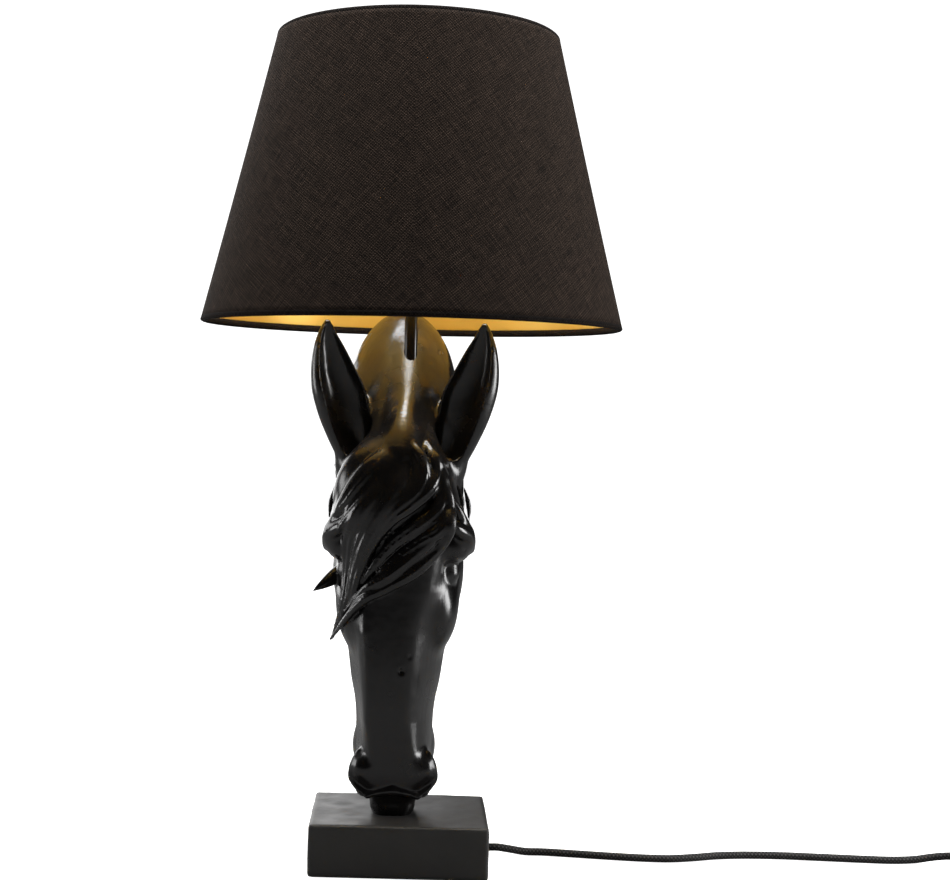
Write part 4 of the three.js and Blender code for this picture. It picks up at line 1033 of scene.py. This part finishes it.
def plug(plastic):
    """A flat two-pin plug: shouldered body, a gripping waist of ribs and a ribbed collar for the flex."""
    x, y, z = 577, 115, 7.3
    clay = Clay((x - 43, y - 17, -3), (x + 22, y + 17, 19), 0.6)
    clay.block((x - 37, y - 12.5, 0.3), (x - 14, y + 12.5, 14.3), 3.2, k=0.2)
    clay.block((x - 22, y - 9.2, 0.6), (x - 5, y + 9.2, 14), 4.0, k=7)
    clay.block((x - 10, y - 5.6, 1.6), (x, y + 5.6, 13), 4.0, k=5)
    for i in range(5):
        clay.rod([(x - 12 + 2.6 * i, y - 8, 15.2 - 0.5 * i), (x - 12 + 2.6 * i, y + 8, 15.2 - 0.5 * i)],
                 [1.1, 1.1], 0.5, cut=True, both=False)
    made = clay.fired("plug_moulding", plastic)
    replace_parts(made, "plug_body")
    return made


def coil_tie(plastic):
    """A strip of black plastic round the coil's turns at the far side, its ends twisted together on top."""
    x, y, half = COIL["x"] + 36.5, COIL["y"], 3 * CORD_RADIUS
    clay = Clay((x - 14, y - 7, -3), (x + 15, y + 7, 22), 0.5)
    clay.block((x - half - 1.3, y - 3.2, 0.05), (x + half + 1.3, y + 3.2, 14.4), 1.3, k=0.1)
    clay.block((x - half, y - 9, 0.9), (x + half, y + 9, 13.2), 2.6, k=0.2, cut=True)
    clay.rod([(x, y - 2.0, 14.2), (x + 1.5, y + 0.5, 14.6), (x, y + 2.0, 14.3)], [0.9, 1.0, 0.9], 0.4,
             both=False)
    made = clay.fired("coil_strap", plastic)
    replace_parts(made, "coil_tie")
    return made


def lay_cord(braid):
    line = cord_line()
    flex = tube("textile_flex", line, CORD_RADIUS, braid, sides=16, per_step=5)
    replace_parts(flex, "cord_lead", "cord_link", "cord_coil", "cord_tail")


# ---------------------------------------------------------------- carried nodes
def dress(finishes):
    """Gives each carried part its finish."""
    for name, finish in finishes.items():
        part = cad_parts[name]
        for slot in part.material_slots:
            slot.material = finish


# ---------------------------------------------------------------- studio
# metres from the middle of the floor to its edges
FLOOR_REACH = 9


def softbox(name, place, aim, size, power):
    """A flat white light, aimed at a point and not seen by the camera."""
    light = bpy.data.lights.new(name, "AREA")
    light.shape = "RECTANGLE"
    light.size, light.size_y = size
    light.energy = power
    made = bpy.data.objects.new(name, light)
    made.location = place
    made.rotation_euler = (Vector(aim) - Vector(place)).to_track_quat("-Z", "Y").to_euler()
    made.visible_camera = False
    bpy.context.collection.objects.link(made)


def studio():
    paper, tree = blank("floor_paper")
    seen = node(tree, "LightPath").outputs["Is Camera Ray"]
    matt = node(tree, "BsdfDiffuse", {"Color": linear("#dcdcdc")})
    lit = node(tree, "Emission", {"Color": (1, 1, 1, 1), "Strength": 1.02})
    both = node(tree, "AddShader")
    tree.links.new(matt.outputs[0], both.inputs[0])
    tree.links.new(lit.outputs[0], both.inputs[1])
    dim = node(tree, "BsdfDiffuse", {"Color": linear("#888888")})
    surfaced(paper, node(tree, "MixShader", {0: seen, 1: dim.outputs[0], 2: both.outputs[0]}))
    mesh = bpy.data.meshes.new("floor")
    reach = FLOOR_REACH
    corners = [(-reach, -reach, 0), (reach, -reach, 0), (reach, reach, 0), (-reach, reach, 0)]
    mesh.from_pydata(corners, [], [(0, 1, 2, 3)])
    mesh.materials.append(paper)
    floor = bpy.data.objects.new("floor", mesh)
    bpy.context.collection.objects.link(floor)
    world = bpy.data.worlds.new("studio")
    world.use_nodes = True
    tree = world.node_tree
    tree.nodes.clear()
    seen = node(tree, "LightPath").outputs["Is Camera Ray"]
    strength = node(tree, "MapRange", {"Value": seen, "To Min": 0.025, "To Max": 1.3})
    sky = node(tree, "Background", {"Color": (1, 1, 1, 1), "Strength": strength.outputs[0]})
    node(tree, "OutputWorld", {"Surface": sky.outputs[0]})
    bpy.context.scene.world = world
    bpy.context.scene.view_settings.view_transform = "Standard"
    softbox("overhead", (0.0, -0.05, 1.45), (0.0, 0.0, 0.4), (0.9, 0.9), 32)
    softbox("backdrop", (-1.6, 2.6, 0.9), (-0.1, 0.0, 0.5), (3.6, 2.2), 74)
    softbox("right", (1.2, -0.1, 0.32), (0.0, 0.0, 0.26), (0.4, 0.6), 11)
    softbox("left", (-1.2, 0.0, 0.34), (0.0, 0.0, 0.26), (0.35, 0.6), 4.5)
    softbox("brow", (-0.006, -0.085, 0.6), (-0.006, -0.02, 0.4), (0.1, 0.05), 0.12)
    glow = bpy.data.lights.new("glow", "POINT")
    glow.energy, glow.shadow_soft_size = 3.0, 0.03
    lamp = bpy.data.objects.new("glow", glow)
    lamp.location = (0.0, -0.05, 0.67)
    lamp.visible_camera = lamp.visible_glossy = False
    bpy.context.collection.objects.link(lamp)


# ---------------------------------------------------------------- all together
def assemble():
    set_camera()
    plastic, steel, brass = moulded_plastic(), plated_steel(), brass_plate()
    going = [plug(plastic), coil_tie(plastic), "switch_screw_1", "switch_screw_2", "plug_pin_1",
             "plug_pin_2"]
    lay_cord(braided_textile())
    horse_head(lacquered_resin())
    shade(linen_weave(), gold_foil(), linen_weave("hem_linen", "#141110", "#2a2522"))
    plinth(satin_resin())
    stem(lacquered_steel())
    holder(plastic)
    shade_rings(plastic)
    bulb(opal_glass(), brass)
    cord_switch(plastic)
    coated = lacquered_steel()
    dress({
        "felt_pad": wool_felt(), "base_cover": steel, "rod_washer": steel, "rod_nut": steel,
        "threaded_rod": steel, "inner_flex": plastic, "cord_bushing": plastic, "cord_clamp": steel,
        "clamp_screw_1": steel, "clamp_screw_2": steel, "stem_lock_nut": steel,
        "holder_core": glazed_porcelain(), "centre_contact": brass, "side_contact": brass,
        "terminal_screw_1": brass, "terminal_screw_2": brass, "bulb_tip_contact": brass,
        "bulb_filament_stem": opal_glass(), "shade_wire_bottom": steel, "shade_wire_top": steel,
        "fitter_ring": coated, "fitter_spoke_1": coated, "fitter_spoke_2": coated, "fitter_spoke_3": coated,
        "switch_screw_1": steel, "switch_screw_2": steel, "plug_pin_1": steel, "plug_pin_2": steel,
        **{f"cover_screw_{i}": steel for i in range(1, 5)},
    })
    studio()


assemble()
